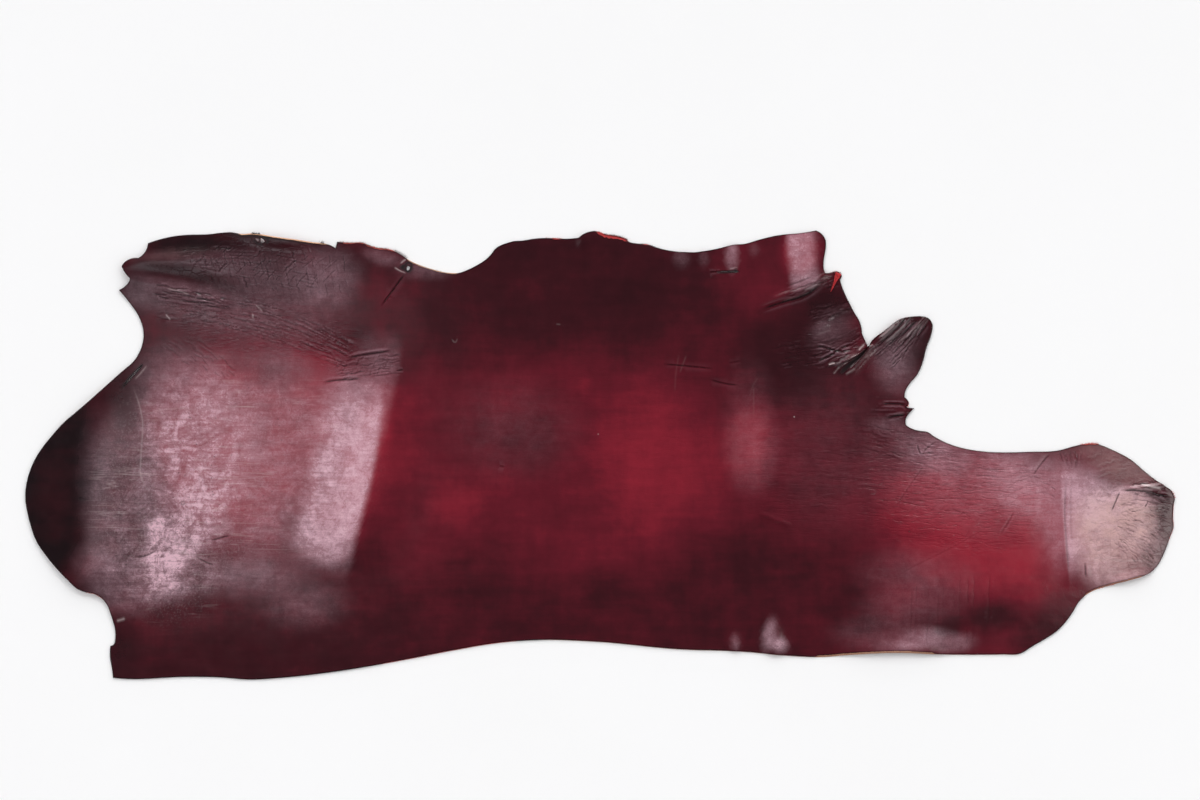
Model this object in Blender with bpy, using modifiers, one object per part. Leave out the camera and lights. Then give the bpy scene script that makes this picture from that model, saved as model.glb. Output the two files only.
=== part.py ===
"""A leather side: one half of a tanned hide, cut along the backbone and laid out grain side up.

It is one thin sheet. Its edge runs from corner to corner in the named stretches below, and its
folds and swells lift the sheet off the surface that it lies on; everywhere else it lies flat.
+X runs from the rump to the muzzle, +Y from the backbone to the belly, and +Z is up. The origin
is on the surface, under the middle of the sheet's outer box.
"""

import math
from collections import namedtuple

import bpy
import numpy as np
from mathutils import Vector
from mathutils.geometry import delaunay_2d_cdt

# Driving sizes, in metres
LENGTH = 2.528
THICKNESS = 0.0022

# The tables below are in millimetres, for a side of this length
DRAWN_LENGTH = 2528.0
UNIT = LENGTH / DRAWN_LENGTH

# How closely the sheet's mesh follows its shape, in table millimetres
EDGE_SAMPLE = 2.0
EDGE_TOLERANCE = 0.45
EDGE_STEP = 48.0
FLAT_STEP = 50.0
MERGE_DISTANCE = 1e-4

# Points closer than this share of their own spacing to earlier ones are left out
FLAT_CLEARANCE = 0.52
FOLD_CLEARANCE = 0.22
SWELL_CLEARANCE = 0.3

# What delaunay_2d_cdt calls keeping only the triangles inside the constraints
INSIDE_ONLY = 1

# Colour and finish of the grain side
BURGUNDY = (0.115, 0.011, 0.019, 1.0)
GRAIN_ROUGHNESS = 0.38

# The edge, anticlockwise from the corner of the backbone at the tail. Each stretch is one smooth
# line that runs on from the last point of the stretch before, and ends in a corner.
START = (-1071, -490)
EDGE = {
    "backbone": (
        (-1050, -492), (-906, -488), (-840, -489), (-770, -494), (-700, -490), (-607, -480),
        (-430, -451), (-328, -431), (-218, -413), (-130, -407), (-10, -411), (180, -428),
        (300, -432), (450, -444), (484, -445), (545, -440), (650, -435), (760, -439), (921, -438),
    ),
    "nape": (
        (961, -415), (1010, -383), (1027, -364), (1044, -339), (1052, -325), (1062, -314),
        (1092, -296),
    ),
    "cheek": (
        (1117, -288), (1177, -271), (1208, -260), (1224, -246), (1235, -228), (1250, -192),
        (1262, -158),
    ),
    "muzzle": ((1261, -128), (1264, -95)),
    "forehead": (
        (1258, -80), (1232, -62), (1196, -34), (1163, -7), (1124, 12), (1091, 25), (1060, 23),
        (1026, 15), (1008, 10), (966, 8), (905, 6), (855, 7), (809, 13), (762, 27), (720, 51),
    ),
    "throat": ((700, 54), (684, 59), (673, 66)),
    "shoulder notch": ((674, 83), (682, 94), (691, 103)),
    "shoulder spike": ((680, 104), (673, 106)),
    "shoulder nick": ((679, 111), (680, 114)),
    "shoulder step": ((676, 122), (670, 127)),
    "foreleg flap": (
        (671, 138), (680, 155), (699, 178), (710, 204), (719, 238), (730, 270), (731, 289),
        (724, 300), (707, 305), (681, 304), (659, 299), (638, 284), (608, 260), (598, 252),
        (592, 240),
    ),
    "elbow": (
        (587, 247), (578, 261), (576, 274), (574, 286), (567, 299), (546, 340), (537, 362),
        (530, 378), (528, 386),
    ),
    "elbow tab": ((532, 395), (528, 401), (518, 404), (507, 401), (495, 400)),
    "elbow corner": ((492, 413), (493, 428), (496, 450), (495, 476), (489, 485), (475, 494)),
    "belly": (
        (441, 488), (396, 484), (351, 474), (314, 464), (297, 463), (263, 455), (204, 446),
        (176, 447), (133, 454), (102, 464), (77, 466), (64, 469),
    ),
    "flank tab": ((54, 476), (37, 481), (12, 485), (-11, 493), (-25, 491), (-47, 478)),
    "flank": (
        (-67, 476), (-107, 477), (-135, 477), (-169, 472), (-203, 467), (-214, 461),
        (-232, 452),
    ),
    "groin": (
        (-249, 432), (-280, 414), (-309, 401), (-334, 401), (-362, 407), (-404, 421),
        (-422, 430),
    ),
    "stifle": ((-436, 440), (-450, 448), (-503, 459), (-523, 467), (-548, 467), (-578, 469)),
    "stifle notch": ((-582, 455),),
    "thigh": (
        (-592, 461), (-631, 468), (-723, 481), (-763, 487), (-786, 486), (-811, 490),
        (-839, 488), (-857, 486), (-924, 483), (-950, 479), (-970, 473), (-994, 466),
    ),
    "hock": ((-997, 453), (-1005, 440), (-1014, 433)),
    "shank tip": (
        (-1033, 431), (-1044, 424), (-1050, 413), (-1047, 408), (-1038, 396), (-1032, 388),
    ),
    "shank point": ((-1033, 383), (-1040, 374), (-1049, 367), (-1058, 363)),
    "rump": (
        (-1047, 349), (-1026, 323), (-1011, 297), (-1004, 268), (-1005, 250), (-1011, 231),
        (-1023, 209), (-1047, 187), (-1096, 143), (-1146, 99), (-1173, 77), (-1213, 33),
        (-1230, 11), (-1253, -33), (-1264, -88), (-1255, -143), (-1240, -187), (-1209, -231),
        (-1144, -296),
    ),
    "tail root": ((-1130, -301), (-1107, -307), (-1087, -324), (-1083, -330)),
    "tail notch": ((-1073, -359), (-1066, -387), (-1066, -400), (-1071, -418), (-1077, -420)),
    "tail end": ((-1078, -440), (-1073, -472), (-1071, -490)),
}

# Cuts and tears right through the sheet. A slit is a lens between two ends, widest at the given
# share of its length, and its middle bows to the left of its run.
Slit = namedtuple("Slit", "name x0 y0 x1 y1 opening widest bow")
SLITS = (
    Slit("rump slit", -1006, 198, -1045, 152, 4.8, 0.45, -1.5),
    Slit("belly slit", 266, 404, 304, 403, 3.2, 0.72, 0.0),
)
SLIT_STEPS = 6

# A torn hole is an ellipse, and its edge wanders in a few waves round it
Hole = namedtuple("Hole", "name x y half_length half_width turn")
HOLES = (
    Hole("thigh hole", -742, 471.5, 5.4, 3.5, -48),
    Hole("groin tear", -422, 411, 5.0, 3.3, 80),
)
HOLE_SIDES = 10
HOLE_WANDER = 0.14
HOLE_WAVES = 3

# Folds: a crest along a path, with its height, how far the sheet takes to come down on the left
# and on the right of the path's run, and the radius of the crest. An end that "fades" dies out in
# the sheet, and the other ends run off the edge. Lean pushes the crest over to the right.
Fold = namedtuple("Fold", "name height left right crest fades lean path")
FOLDS = (
    Fold("rump crease", 7.0, 170, 110, 5, "both", 0,
         ((-572, -297), (-546, -198), (-497, -33), (-468, 121), (-460, 205))),
    Fold("rump roll", 9.0, 150, 170, 34, "both", 0,
         ((-1165, -420), (-1140, -270), (-1124, -130), (-1100, 10), (-1062, 120), (-1000, 250))),
    Fold("shank lower", 6.5, 34, 56, 6, "end", 0,
         ((-1034, 386), (-990, 378), (-935, 363), (-869, 343), (-792, 323))),
    Fold("shank upper", 5.5, 44, 32, 10, "end", 0,
         ((-1046, 416), (-1012, 424), (-935, 428), (-847, 432), (-760, 430))),
    Fold("armpit pleat", 9.0, 26, 6, 2, "start", 2.5,
         ((511, 187), (539, 209), (568, 226), (588, 247))),
    Fold("armpit lip", 5.0, 5, 16, 1.5, "start", 0,
         ((541, 180), (569, 208), (595, 238))),
    Fold("flap pleat near", 4.0, 5, 6, 1.2, "start", 0,
         ((603, 247), (634, 273), (662, 299))),
    Fold("flap pleat middle", 3.0, 6, 8, 1.2, "start", 0,
         ((616, 240), (649, 269), (679, 303))),
    Fold("flap pleat far", 3.5, 6, 10, 1.2, "start", 0,
         ((667, 251), (691, 276), (714, 302))),
    Fold("elbow fold", 4.5, 14, 22, 2, "start", 0,
         ((352, 328), (396, 348), (449, 366), (494, 398))),
    Fold("elbow crease", 2.5, 10, 10, 1.5, "start", 0,
         ((491, 297), (524, 315), (553, 328))),
    Fold("shoulder strip", 2.5, 13, 13, 3, "start", 0,
         ((606, 99), (640, 98), (674, 95))),
    Fold("head fold", 3.0, 60, 120, 4, "both", 0,
         ((1034, -300), (1025, -198), (1027, -99), (1037, 8))),
    Fold("muzzle fold", 5.0, 8, 9, 1.5, "start", 0,
         ((1150, -74), (1195, -71), (1236, -65))),
    Fold("stifle crease", 2.0, 8, 8, 1.5, "both", 0,
         ((-561, 216), (-506, 226), (-455, 233))),
    Fold("back pucker", 2.5, 9, 9, 1.5, "both", 0,
         ((339, -123), (372, -136), (427, -158))),
)
FADE_SHARE = 0.3

# The mesh follows a fold in rows along its crest, down the crest's own radius, and at these
# shares of each side's width
FOLD_PATH_STEP = 4.0
FINEST_ROW_STEP = 9.0
COARSEST_ROW_STEP = 26.0
ROW_STEPS_ACROSS = 3
NEAREST_ROW = 2.2
WIDE_SIDE = 24.0
WIDE_SIDE_SHARES = (0.33, 0.66, 1.0)
NARROW_SIDE_SHARES = (0.6, 1.0)

# Swells: low rounded rises, each an ellipse with its half lengths, its turn in degrees and its
# height. Most lift a stretch of the edge.
Swell = namedtuple("Swell", "name x y half_length half_width turn height")
SWELLS = (
    Swell("thigh edge", -700, 480, 130, 36, -7, 7.0),
    Swell("cheek edge", 1168, -278, 72, 28, 17, 7.0),
    Swell("backbone edge", 640, -440, 150, 34, 0, 7.0),
    Swell("backbone ripple far", 720, -410, 52, 42, 0, 3.0),
    Swell("backbone ripple middle", 385, -414, 62, 28, 90, 5.0),
    Swell("backbone ripple near", 297, -418, 36, 18, 90, 3.0),
    Swell("flank tab", -37, 474, 30, 20, 90, 4.0),
    Swell("belly ripple near", 187, 440, 36, 20, 90, 3.0),
    Swell("belly ripple middle", 228, 440, 34, 18, 90, 3.0),
    Swell("belly ripple far", 288, 440, 54, 26, 90, 5.0),
    Swell("elbow corner", 440, 440, 84, 40, 90, 6.0),
    Swell("elbow blister", 489, 286, 32, 16, 35, 3.0),
    Swell("flap edge", 636, 278, 64, 24, 42, 5.0),
)

# The mesh follows a swell in rings: a share of its half lengths, and the points there
SWELL_RINGS = ((0.5, 8), (1.0, 12))

# The torn tag at the elbow: a tongue of the sheet's own leather, folded back over the grain side
TAG_ROOT = (523, 397)
TAG_TIP = (508, 360)
TAG_THICKNESS = 1.3
TAG_GAP = 0.9
TAG_REACH = 3.2
# Where the tag starts inside the sheet: how far in from its root, and the share of the thickness
TAG_ROOT_DEPTH = 2.0
TAG_ROOT_SHARE = 0.6
# Along the tag from its root: share of its length, and its half width there
TAG_WIDTHS = ((0.0, 6.0), (0.2, 5.4), (0.4, 4.2), (0.7, 2.8), (1.0, 1.0))
TAG_BEND_STEPS = 6


def smooth_run(points, step):
    """Points at most step apart on one smooth line through the given ones, both ends included."""
    knots = np.array(points, dtype=float)
    gaps = np.linalg.norm(np.diff(knots, axis=0), axis=1)
    along = np.concatenate([[0.0], np.cumsum(gaps)])
    order = 2 if len(knots) > 2 else 1
    slopes = np.gradient(knots, along, axis=0, edge_order=order)
    run = [knots[0]]
    for i, gap in enumerate(gaps):
        for t in np.linspace(0.0, 1.0, math.ceil(gap / step) + 1)[1:]:
            run.append(
                (2 * t**3 - 3 * t**2 + 1) * knots[i]
                + (t**3 - 2 * t**2 + t) * gap * slopes[i]
                + (3 * t**2 - 2 * t**3) * knots[i + 1]
                + (t**3 - t**2) * gap * slopes[i + 1]
            )
    return np.array(run)


def thinned(run, tolerance, longest):
    """The fewest points that stay within tolerance of a run, none further apart than longest."""
    keep = {0, len(run) - 1}
    spans = [(0, len(run) - 1)]
    while spans:
        first, last = spans.pop()
        if last - first < 2:
            continue
        chord = run[last] - run[first]
        reach = np.linalg.norm(chord)
        inner = run[first + 1 : last] - run[first]
        offset = np.abs(inner[:, 0] * chord[1] - inner[:, 1] * chord[0]) / reach
        worst = first + 1 + int(offset.argmax())
        if offset.max() <= tolerance:
            if reach <= longest:
                continue
            worst = (first + last) // 2
        keep.add(worst)
        spans += [(first, worst), (worst, last)]
    return run[sorted(keep)]


def edge_loop():
    """The outer edge as a closed loop of points, corners kept."""
    loop = []
    corner = START
    for stretch in EDGE.values():
        run = smooth_run((corner, *stretch), EDGE_SAMPLE)
        loop.extend(thinned(run, EDGE_TOLERANCE, EDGE_STEP)[:-1])
        corner = stretch[-1]
    return np.array(loop)


def slit_loop(slit):
    start = np.array((slit.x0, slit.y0), dtype=float)
    run = np.array((slit.x1, slit.y1), dtype=float) - start
    side = np.array((-run[1], run[0])) / np.linalg.norm(run)
    bend = math.log(0.5) / math.log(slit.widest)
    shares = [i / SLIT_STEPS for i in range(SLIT_STEPS + 1)]
    middles = [start + run * t + side * slit.bow * math.sin(math.pi * t) for t in shares]
    halves = [side * slit.opening / 2 * math.sin(math.pi * t**bend) for t in shares]
    lower = [middle - half for middle, half in zip(middles, halves)]
    upper = [middle + half for middle, half in zip(middles, halves)]
    return np.array(lower + upper[-2:0:-1])


def hole_loop(hole):
    turn = math.radians(hole.turn)
    loop = []
    for i in range(HOLE_SIDES):
        angle = math.tau * i / HOLE_SIDES
        ragged = 1 + HOLE_WANDER * math.sin(HOLE_WAVES * angle + hole.x)
        u = hole.half_length * ragged * math.cos(angle)
        v = hole.half_width * ragged * math.sin(angle)
        x = hole.x + u * math.cos(turn) - v * math.sin(turn)
        y = hole.y + u * math.sin(turn) + v * math.cos(turn)
        loop.append((x, y))
    return np.array(loop)


def inside(points, loop):
    """Which points lie inside a closed loop."""
    within = np.zeros(len(points), dtype=bool)
    x, y = points[:, 0], points[:, 1]
    for (ax, ay), (bx, by) in zip(loop, np.roll(loop, -1, axis=0)):
        crosses = (ay > y) != (by > y)
        if ay != by:
            within ^= crosses & (x < ax + (y - ay) * (bx - ax) / (by - ay))
    return within


def fold_path(fold):
    """The fold's path as close points, its direction at each, and how high its crest stands."""
    path = smooth_run(fold.path, FOLD_PATH_STEP)
    ahead = np.gradient(path, axis=0)
    ahead /= np.linalg.norm(ahead, axis=1, keepdims=True)
    share = np.linspace(0.0, 1.0, len(path))
    crest = np.ones(len(path))
    if fold.fades in ("start", "both"):
        crest *= np.clip(share / FADE_SHARE, 0, 1)
    if fold.fades in ("end", "both"):
        crest *= np.clip((1 - share) / FADE_SHARE, 0, 1)
    return path, ahead, crest * crest * (3 - 2 * crest)


def fold_lift(fold, points):
    """The fold's height over each point, and how far it pushes the point sideways."""
    path, ahead, crest = fold_path(fold)
    away = points[:, None, :] - path[None, :, :]
    nearest = np.argmin((away**2).sum(axis=2), axis=1)
    away = away[np.arange(len(points)), nearest]
    ahead = ahead[nearest]
    left_of = ahead[:, 0] * away[:, 1] - ahead[:, 1] * away[:, 0]
    width = np.where(left_of > 0, fold.left, fold.right)
    distance = np.sqrt((away**2).sum(axis=1) + fold.crest**2) - fold.crest
    fall = np.clip(1 - distance / width, 0, 1) ** 2
    lift = fold.height * crest[nearest] * fall
    rightward = np.stack([ahead[:, 1], -ahead[:, 0]], axis=1)
    return lift, rightward * (fold.lean * crest[nearest] * fall)[:, None]


def swell_lift(swell, points):
    turn = math.radians(swell.turn)
    x = points[:, 0] - swell.x
    y = points[:, 1] - swell.y
    u = (x * math.cos(turn) + y * math.sin(turn)) / swell.half_length
    v = (y * math.cos(turn) - x * math.sin(turn)) / swell.half_width
    return swell.height * np.clip(1 - u**2 - v**2, 0, 1) ** 2


def lifted(points):
    """The underside's points in space: flat on the surface, or raised by the folds and swells."""
    height = np.zeros(len(points))
    moved = points.copy()
    for fold in FOLDS:
        lift, push = fold_lift(fold, points)
        height += lift
        moved += push
    for swell in SWELLS:
        height += swell_lift(swell, points)
    return np.column_stack([moved, height])


def fold_points(fold):
    """Rows of points along a fold, close across its crest and spreading down its sides."""
    path, ahead, _ = fold_path(fold)
    across = (fold.left + fold.right) / ROW_STEPS_ACROSS
    step = max(FINEST_ROW_STEP, min(COARSEST_ROW_STEP, across))
    stride = round(step / FOLD_PATH_STEP)
    sideways = np.stack([-ahead[:, 1], ahead[:, 0]], axis=1)
    rows = [path[::stride]]
    for width, side in ((fold.left, 1), (fold.right, -1)):
        shares = WIDE_SIDE_SHARES if width > WIDE_SIDE else NARROW_SIDE_SHARES
        nearest = max(NEAREST_ROW, min(fold.crest, width / 4))
        for offset in (nearest, *(width * share for share in shares)):
            rows.append((path + side * offset * sideways)[::stride])
    return np.concatenate(rows), step * FOLD_CLEARANCE


def swell_points(swell):
    """A swell's centre and rings of points round it."""
    turn = math.radians(swell.turn)
    points = [(swell.x, swell.y)]
    for share, count in SWELL_RINGS:
        for i in range(count):
            angle = math.tau * i / count
            u = share * swell.half_length * math.cos(angle)
            v = share * swell.half_width * math.sin(angle)
            x = swell.x + u * math.cos(turn) - v * math.sin(turn)
            y = swell.y + u * math.sin(turn) + v * math.cos(turn)
            points.append((x, y))
    return np.array(points), swell.half_width * SWELL_CLEARANCE


def flat_points(edge):
    """An even lattice of equal triangles over the sheet's box."""
    low, high = edge.min(axis=0), edge.max(axis=0)
    row_step = FLAT_STEP * math.sin(math.pi / 3)
    points = []
    for row, y in enumerate(np.arange(low[1], high[1], row_step)):
        shift = FLAT_STEP / 2 if row % 2 else 0.0
        for x in np.arange(low[0] + shift, high[0], FLAT_STEP):
            points.append((x, y))
    return np.array(points), FLAT_STEP * FLAT_CLEARANCE


def sheet_plan(edge, openings):
    """Every point of the sheet's plan, the edge and the openings first."""
    kept = np.concatenate([edge, *openings])
    groups = [fold_points(fold) for fold in FOLDS]
    groups += [swell_points(swell) for swell in SWELLS]
    groups.append(flat_points(edge))
    for candidates, clearance in groups:
        candidates = candidates[inside(candidates, edge)]
        for loop in openings:
            candidates = candidates[~inside(candidates, loop)]
        for point in candidates:
            if np.min(((kept - point) ** 2).sum(axis=1)) > clearance**2:
                kept = np.vstack([kept, point])
    return kept


def sheet_triangles(plan, edge, openings):
    """Triangles between the plan's points, within the edge and outside the openings."""
    borders = []
    start = 0
    for loop in (edge, *openings):
        ids = list(range(start, start + len(loop)))
        borders += list(zip(ids, ids[1:] + ids[:1]))
        start += len(loop)
    points = [Vector(point) for point in plan]
    found = delaunay_2d_cdt(points, borders, [], INSIDE_ONLY, MERGE_DISTANCE)
    placed = np.array([tuple(point) for point in found[0]])
    faces = np.array([face[:] for face in found[2]])
    centres = placed[faces].mean(axis=1)
    solid = inside(centres, edge)
    for loop in openings:
        solid &= ~inside(centres, loop)
    return placed, faces[solid]


def mesh_object(name, points, faces, material, collection):
    mesh = bpy.data.meshes.new(name)
    mesh.from_pydata((points * UNIT).tolist(), [], faces.tolist())
    mesh.update()
    mesh.shade_smooth()
    mesh.materials.append(material)
    made = bpy.data.objects.new(name, mesh)
    collection.objects.link(made)
    return made


def leather():
    """Glossy burgundy grain leather."""
    material = bpy.data.materials.new("burgundy_leather")
    material.use_nodes = True
    shader = material.node_tree.nodes["Principled BSDF"]
    shader.inputs["Base Color"].default_value = BURGUNDY
    shader.inputs["Roughness"].default_value = GRAIN_ROUGHNESS
    shader.inputs["Metallic"].default_value = 0.0
    material.diffuse_color = BURGUNDY
    return material


def tag_profile():
    """The tag's centre line, seen from its side: distance inward from its root, and height."""
    sheet = THICKNESS / UNIT
    low = sheet * TAG_ROOT_SHARE
    high = sheet + TAG_GAP + TAG_THICKNESS / 2
    radius = (high - low) / 2
    length = math.dist(TAG_ROOT, TAG_TIP)
    line = [(TAG_ROOT_DEPTH, low), (0.0, low)]
    for i in range(1, TAG_BEND_STEPS):
        angle = math.pi * i / TAG_BEND_STEPS
        line.append((-TAG_REACH * math.sin(angle), low + radius * (1 - math.cos(angle))))
    for share, _ in TAG_WIDTHS:
        line.append((share * length, high))
    return line, length


def torn_tag(material, collection):
    """A closed strip that leaves the edge, turns over and lies back over the grain side."""
    line, length = tag_profile()
    root = np.array(TAG_ROOT, dtype=float)
    inward = (np.array(TAG_TIP, dtype=float) - root) / length
    across = np.array((-inward[1], inward[0]))
    shares, widths = zip(*TAG_WIDTHS)
    base = lifted(root[None, :])[0, 2]
    points = []
    for i, (run, height) in enumerate(line):
        before, after = line[max(i - 1, 0)], line[min(i + 1, len(line) - 1)]
        dx, dz = after[0] - before[0], after[1] - before[1]
        size = math.hypot(dx, dz)
        half_x, half_z = -dz / size * TAG_THICKNESS / 2, dx / size * TAG_THICKNESS / 2
        half_width = np.interp(max(run, 0.0) / length, shares, widths)
        for side, face in ((-1, -1), (1, -1), (1, 1), (-1, 1)):
            place = root + inward * (run + face * half_x) + across * side * half_width
            points.append((*place, base + height + face * half_z))
    faces = [(0, 1, 2, 3)]
    for i in range(len(line) - 1):
        for corner in range(4):
            following = (corner + 1) % 4
            a, b = 4 * i + corner, 4 * i + following
            faces.append((a, a + 4, b + 4, b))
    last = 4 * (len(line) - 1)
    faces.append((last + 3, last + 2, last + 1, last))
    made = mesh_object("torn_tag", np.array(points), np.array(faces), material, collection)
    made.hide_render = True
    made.display_type = "WIRE"
    return made


def hide_sheet(material, collection):
    """The sheet: its underside as an open surface, thickened upwards, with the tag joined on."""
    edge = edge_loop()
    openings = [slit_loop(slit) for slit in SLITS] + [hole_loop(hole) for hole in HOLES]
    plan = sheet_plan(edge, openings)
    placed, faces = sheet_triangles(plan, edge, openings)
    made = mesh_object("hide", lifted(placed), faces, material, collection)
    shell = made.modifiers.new("thickness", "SOLIDIFY")
    shell.thickness = THICKNESS
    shell.offset = 1.0
    return made


def clear_scene():
    for item in list(bpy.data.objects):
        bpy.data.objects.remove(item, do_unlink=True)


def build():
    clear_scene()
    side = bpy.data.collections.new("leather_side")
    helpers = bpy.data.collections.new("helpers")
    bpy.context.scene.collection.children.link(side)
    bpy.context.scene.collection.children.link(helpers)
    material = leather()
    hide = hide_sheet(material, side)
    tag = torn_tag(material, helpers)
    join = hide.modifiers.new("torn tag", "BOOLEAN")
    join.operation = "UNION"
    join.object = tag


build()
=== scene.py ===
"""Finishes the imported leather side: a thin burgundy sheet with its folds, creases, scars and edges.

Lengths in the tables are in millimetres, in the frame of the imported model: +X from the rump to the
muzzle, +Y from the backbone to the belly, +Z up. The outline and the openings are read from the
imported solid, and the folds and swells repeat its own. The camera and the lights are in metres.
"""

import math
import random
from collections import namedtuple

import bmesh
import bpy
import numpy as np
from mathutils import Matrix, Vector, noise
from mathutils.geometry import delaunay_2d_cdt
from mathutils.kdtree import KDTree


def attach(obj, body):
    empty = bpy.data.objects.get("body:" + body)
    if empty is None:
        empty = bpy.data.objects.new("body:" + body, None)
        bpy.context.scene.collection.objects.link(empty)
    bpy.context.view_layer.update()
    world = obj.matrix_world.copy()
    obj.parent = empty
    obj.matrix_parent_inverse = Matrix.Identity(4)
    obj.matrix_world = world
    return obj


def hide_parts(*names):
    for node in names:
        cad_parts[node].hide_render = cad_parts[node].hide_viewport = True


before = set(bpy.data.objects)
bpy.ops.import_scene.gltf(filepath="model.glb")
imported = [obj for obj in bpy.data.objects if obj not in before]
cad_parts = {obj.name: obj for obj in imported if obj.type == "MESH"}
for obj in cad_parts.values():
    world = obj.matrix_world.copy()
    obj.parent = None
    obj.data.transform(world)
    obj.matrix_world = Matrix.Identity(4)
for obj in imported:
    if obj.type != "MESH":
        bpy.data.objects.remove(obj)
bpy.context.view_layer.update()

# A millimetre in metres
UNIT = 0.001
THICKNESS = 2.2


def table(kind, rows):
    """A table's rows, each with the kind's named columns."""
    return [kind(*row) for row in rows]


# Folds: a crest along a path, with its height, how far the sheet takes to come down on the left
# and on the right of the path's run, and the radius of the crest. An end that "fades" dies out in
# the sheet, and the other ends run off the edge. Lean pushes the crest over to the right.
Fold = namedtuple("Fold", "name height left right crest fades lean path")
FOLDS = table(Fold, (
    ("rump crease", 7.0, 170, 110, 5, "both", 0,
     ((-572, -297), (-546, -198), (-497, -33), (-468, 121), (-460, 205))),
    ("rump roll", 9.0, 150, 170, 34, "both", 0,
     ((-1165, -420), (-1140, -270), (-1124, -130), (-1100, 10), (-1062, 120), (-1000, 250))),
    ("shank lower", 6.5, 34, 56, 6, "end", 0,
     ((-1034, 386), (-990, 378), (-935, 363), (-869, 343), (-792, 323))),
    ("shank upper", 5.5, 44, 32, 10, "end", 0,
     ((-1046, 416), (-1012, 424), (-935, 428), (-847, 432), (-760, 430))),
    ("armpit pleat", 9.0, 26, 6, 2, "start", 2.5, ((511, 187), (539, 209), (568, 226), (588, 247))),
    ("armpit lip", 5.0, 5, 16, 1.5, "start", 0, ((541, 180), (569, 208), (595, 238))),
    ("flap pleat near", 4.0, 5, 6, 1.2, "start", 0, ((603, 247), (634, 273), (662, 299))),
    ("flap pleat middle", 3.0, 6, 8, 1.2, "start", 0, ((616, 240), (649, 269), (679, 303))),
    ("flap pleat far", 3.5, 6, 10, 1.2, "start", 0, ((667, 251), (691, 276), (714, 302))),
    ("elbow fold", 4.5, 14, 22, 2, "start", 0, ((352, 328), (396, 348), (449, 366), (494, 398))),
    ("elbow crease", 2.5, 10, 10, 1.5, "start", 0, ((491, 297), (524, 315), (553, 328))),
    ("shoulder strip", 2.5, 13, 13, 3, "start", 0, ((606, 99), (640, 98), (674, 95))),
    ("head fold", 3.0, 60, 120, 4, "both", 0, ((1034, -300), (1025, -198), (1027, -99), (1037, 8))),
    ("muzzle fold", 5.0, 8, 9, 1.5, "start", 0, ((1150, -74), (1195, -71), (1236, -65))),
    ("stifle crease", 2.0, 8, 8, 1.5, "both", 0, ((-561, 216), (-506, 226), (-455, 233))),
    ("back pucker", 2.5, 9, 9, 1.5, "both", 0, ((339, -123), (372, -136), (427, -158))),
))
# The share of a path's length over which an end that fades dies out
FADE_SHARE = 0.3

# Swells: low rounded rises, each an ellipse with its half lengths, its turn in degrees and its
# height. Most lift a stretch of the edge.
Swell = namedtuple("Swell", "name x y half_length half_width turn height")
SWELLS = table(Swell, (
    ("thigh edge", -700, 480, 130, 36, -7, 7.0),
    ("cheek edge", 1168, -278, 72, 28, 17, 7.0),
    ("backbone edge", 640, -440, 150, 34, 0, 7.0),
    ("backbone ripple far", 720, -410, 52, 42, 0, 3.0),
    ("backbone ripple middle", 385, -414, 62, 28, 90, 5.0),
    ("backbone ripple near", 297, -418, 36, 18, 90, 3.0),
    ("flank tab", -37, 474, 30, 20, 90, 4.0),
    ("belly ripple near", 187, 440, 36, 20, 90, 3.0),
    ("belly ripple middle", 228, 440, 34, 18, 90, 3.0),
    ("belly ripple far", 288, 440, 54, 26, 90, 5.0),
    ("elbow corner", 440, 440, 84, 40, 90, 6.0),
    ("elbow blister", 489, 286, 32, 16, 35, 3.0),
    ("flap edge", 636, 278, 64, 24, 42, 5.0),
))

# Ripples: the grain side is nowhere quite even. Each is a low irregular swell over the whole sheet,
# with its height and the size of its humps.
Ripple = namedtuple("Ripple", "height length")
RIPPLES = table(Ripple, (
    (0.60, 150),
    (0.24, 62),
))

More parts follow.
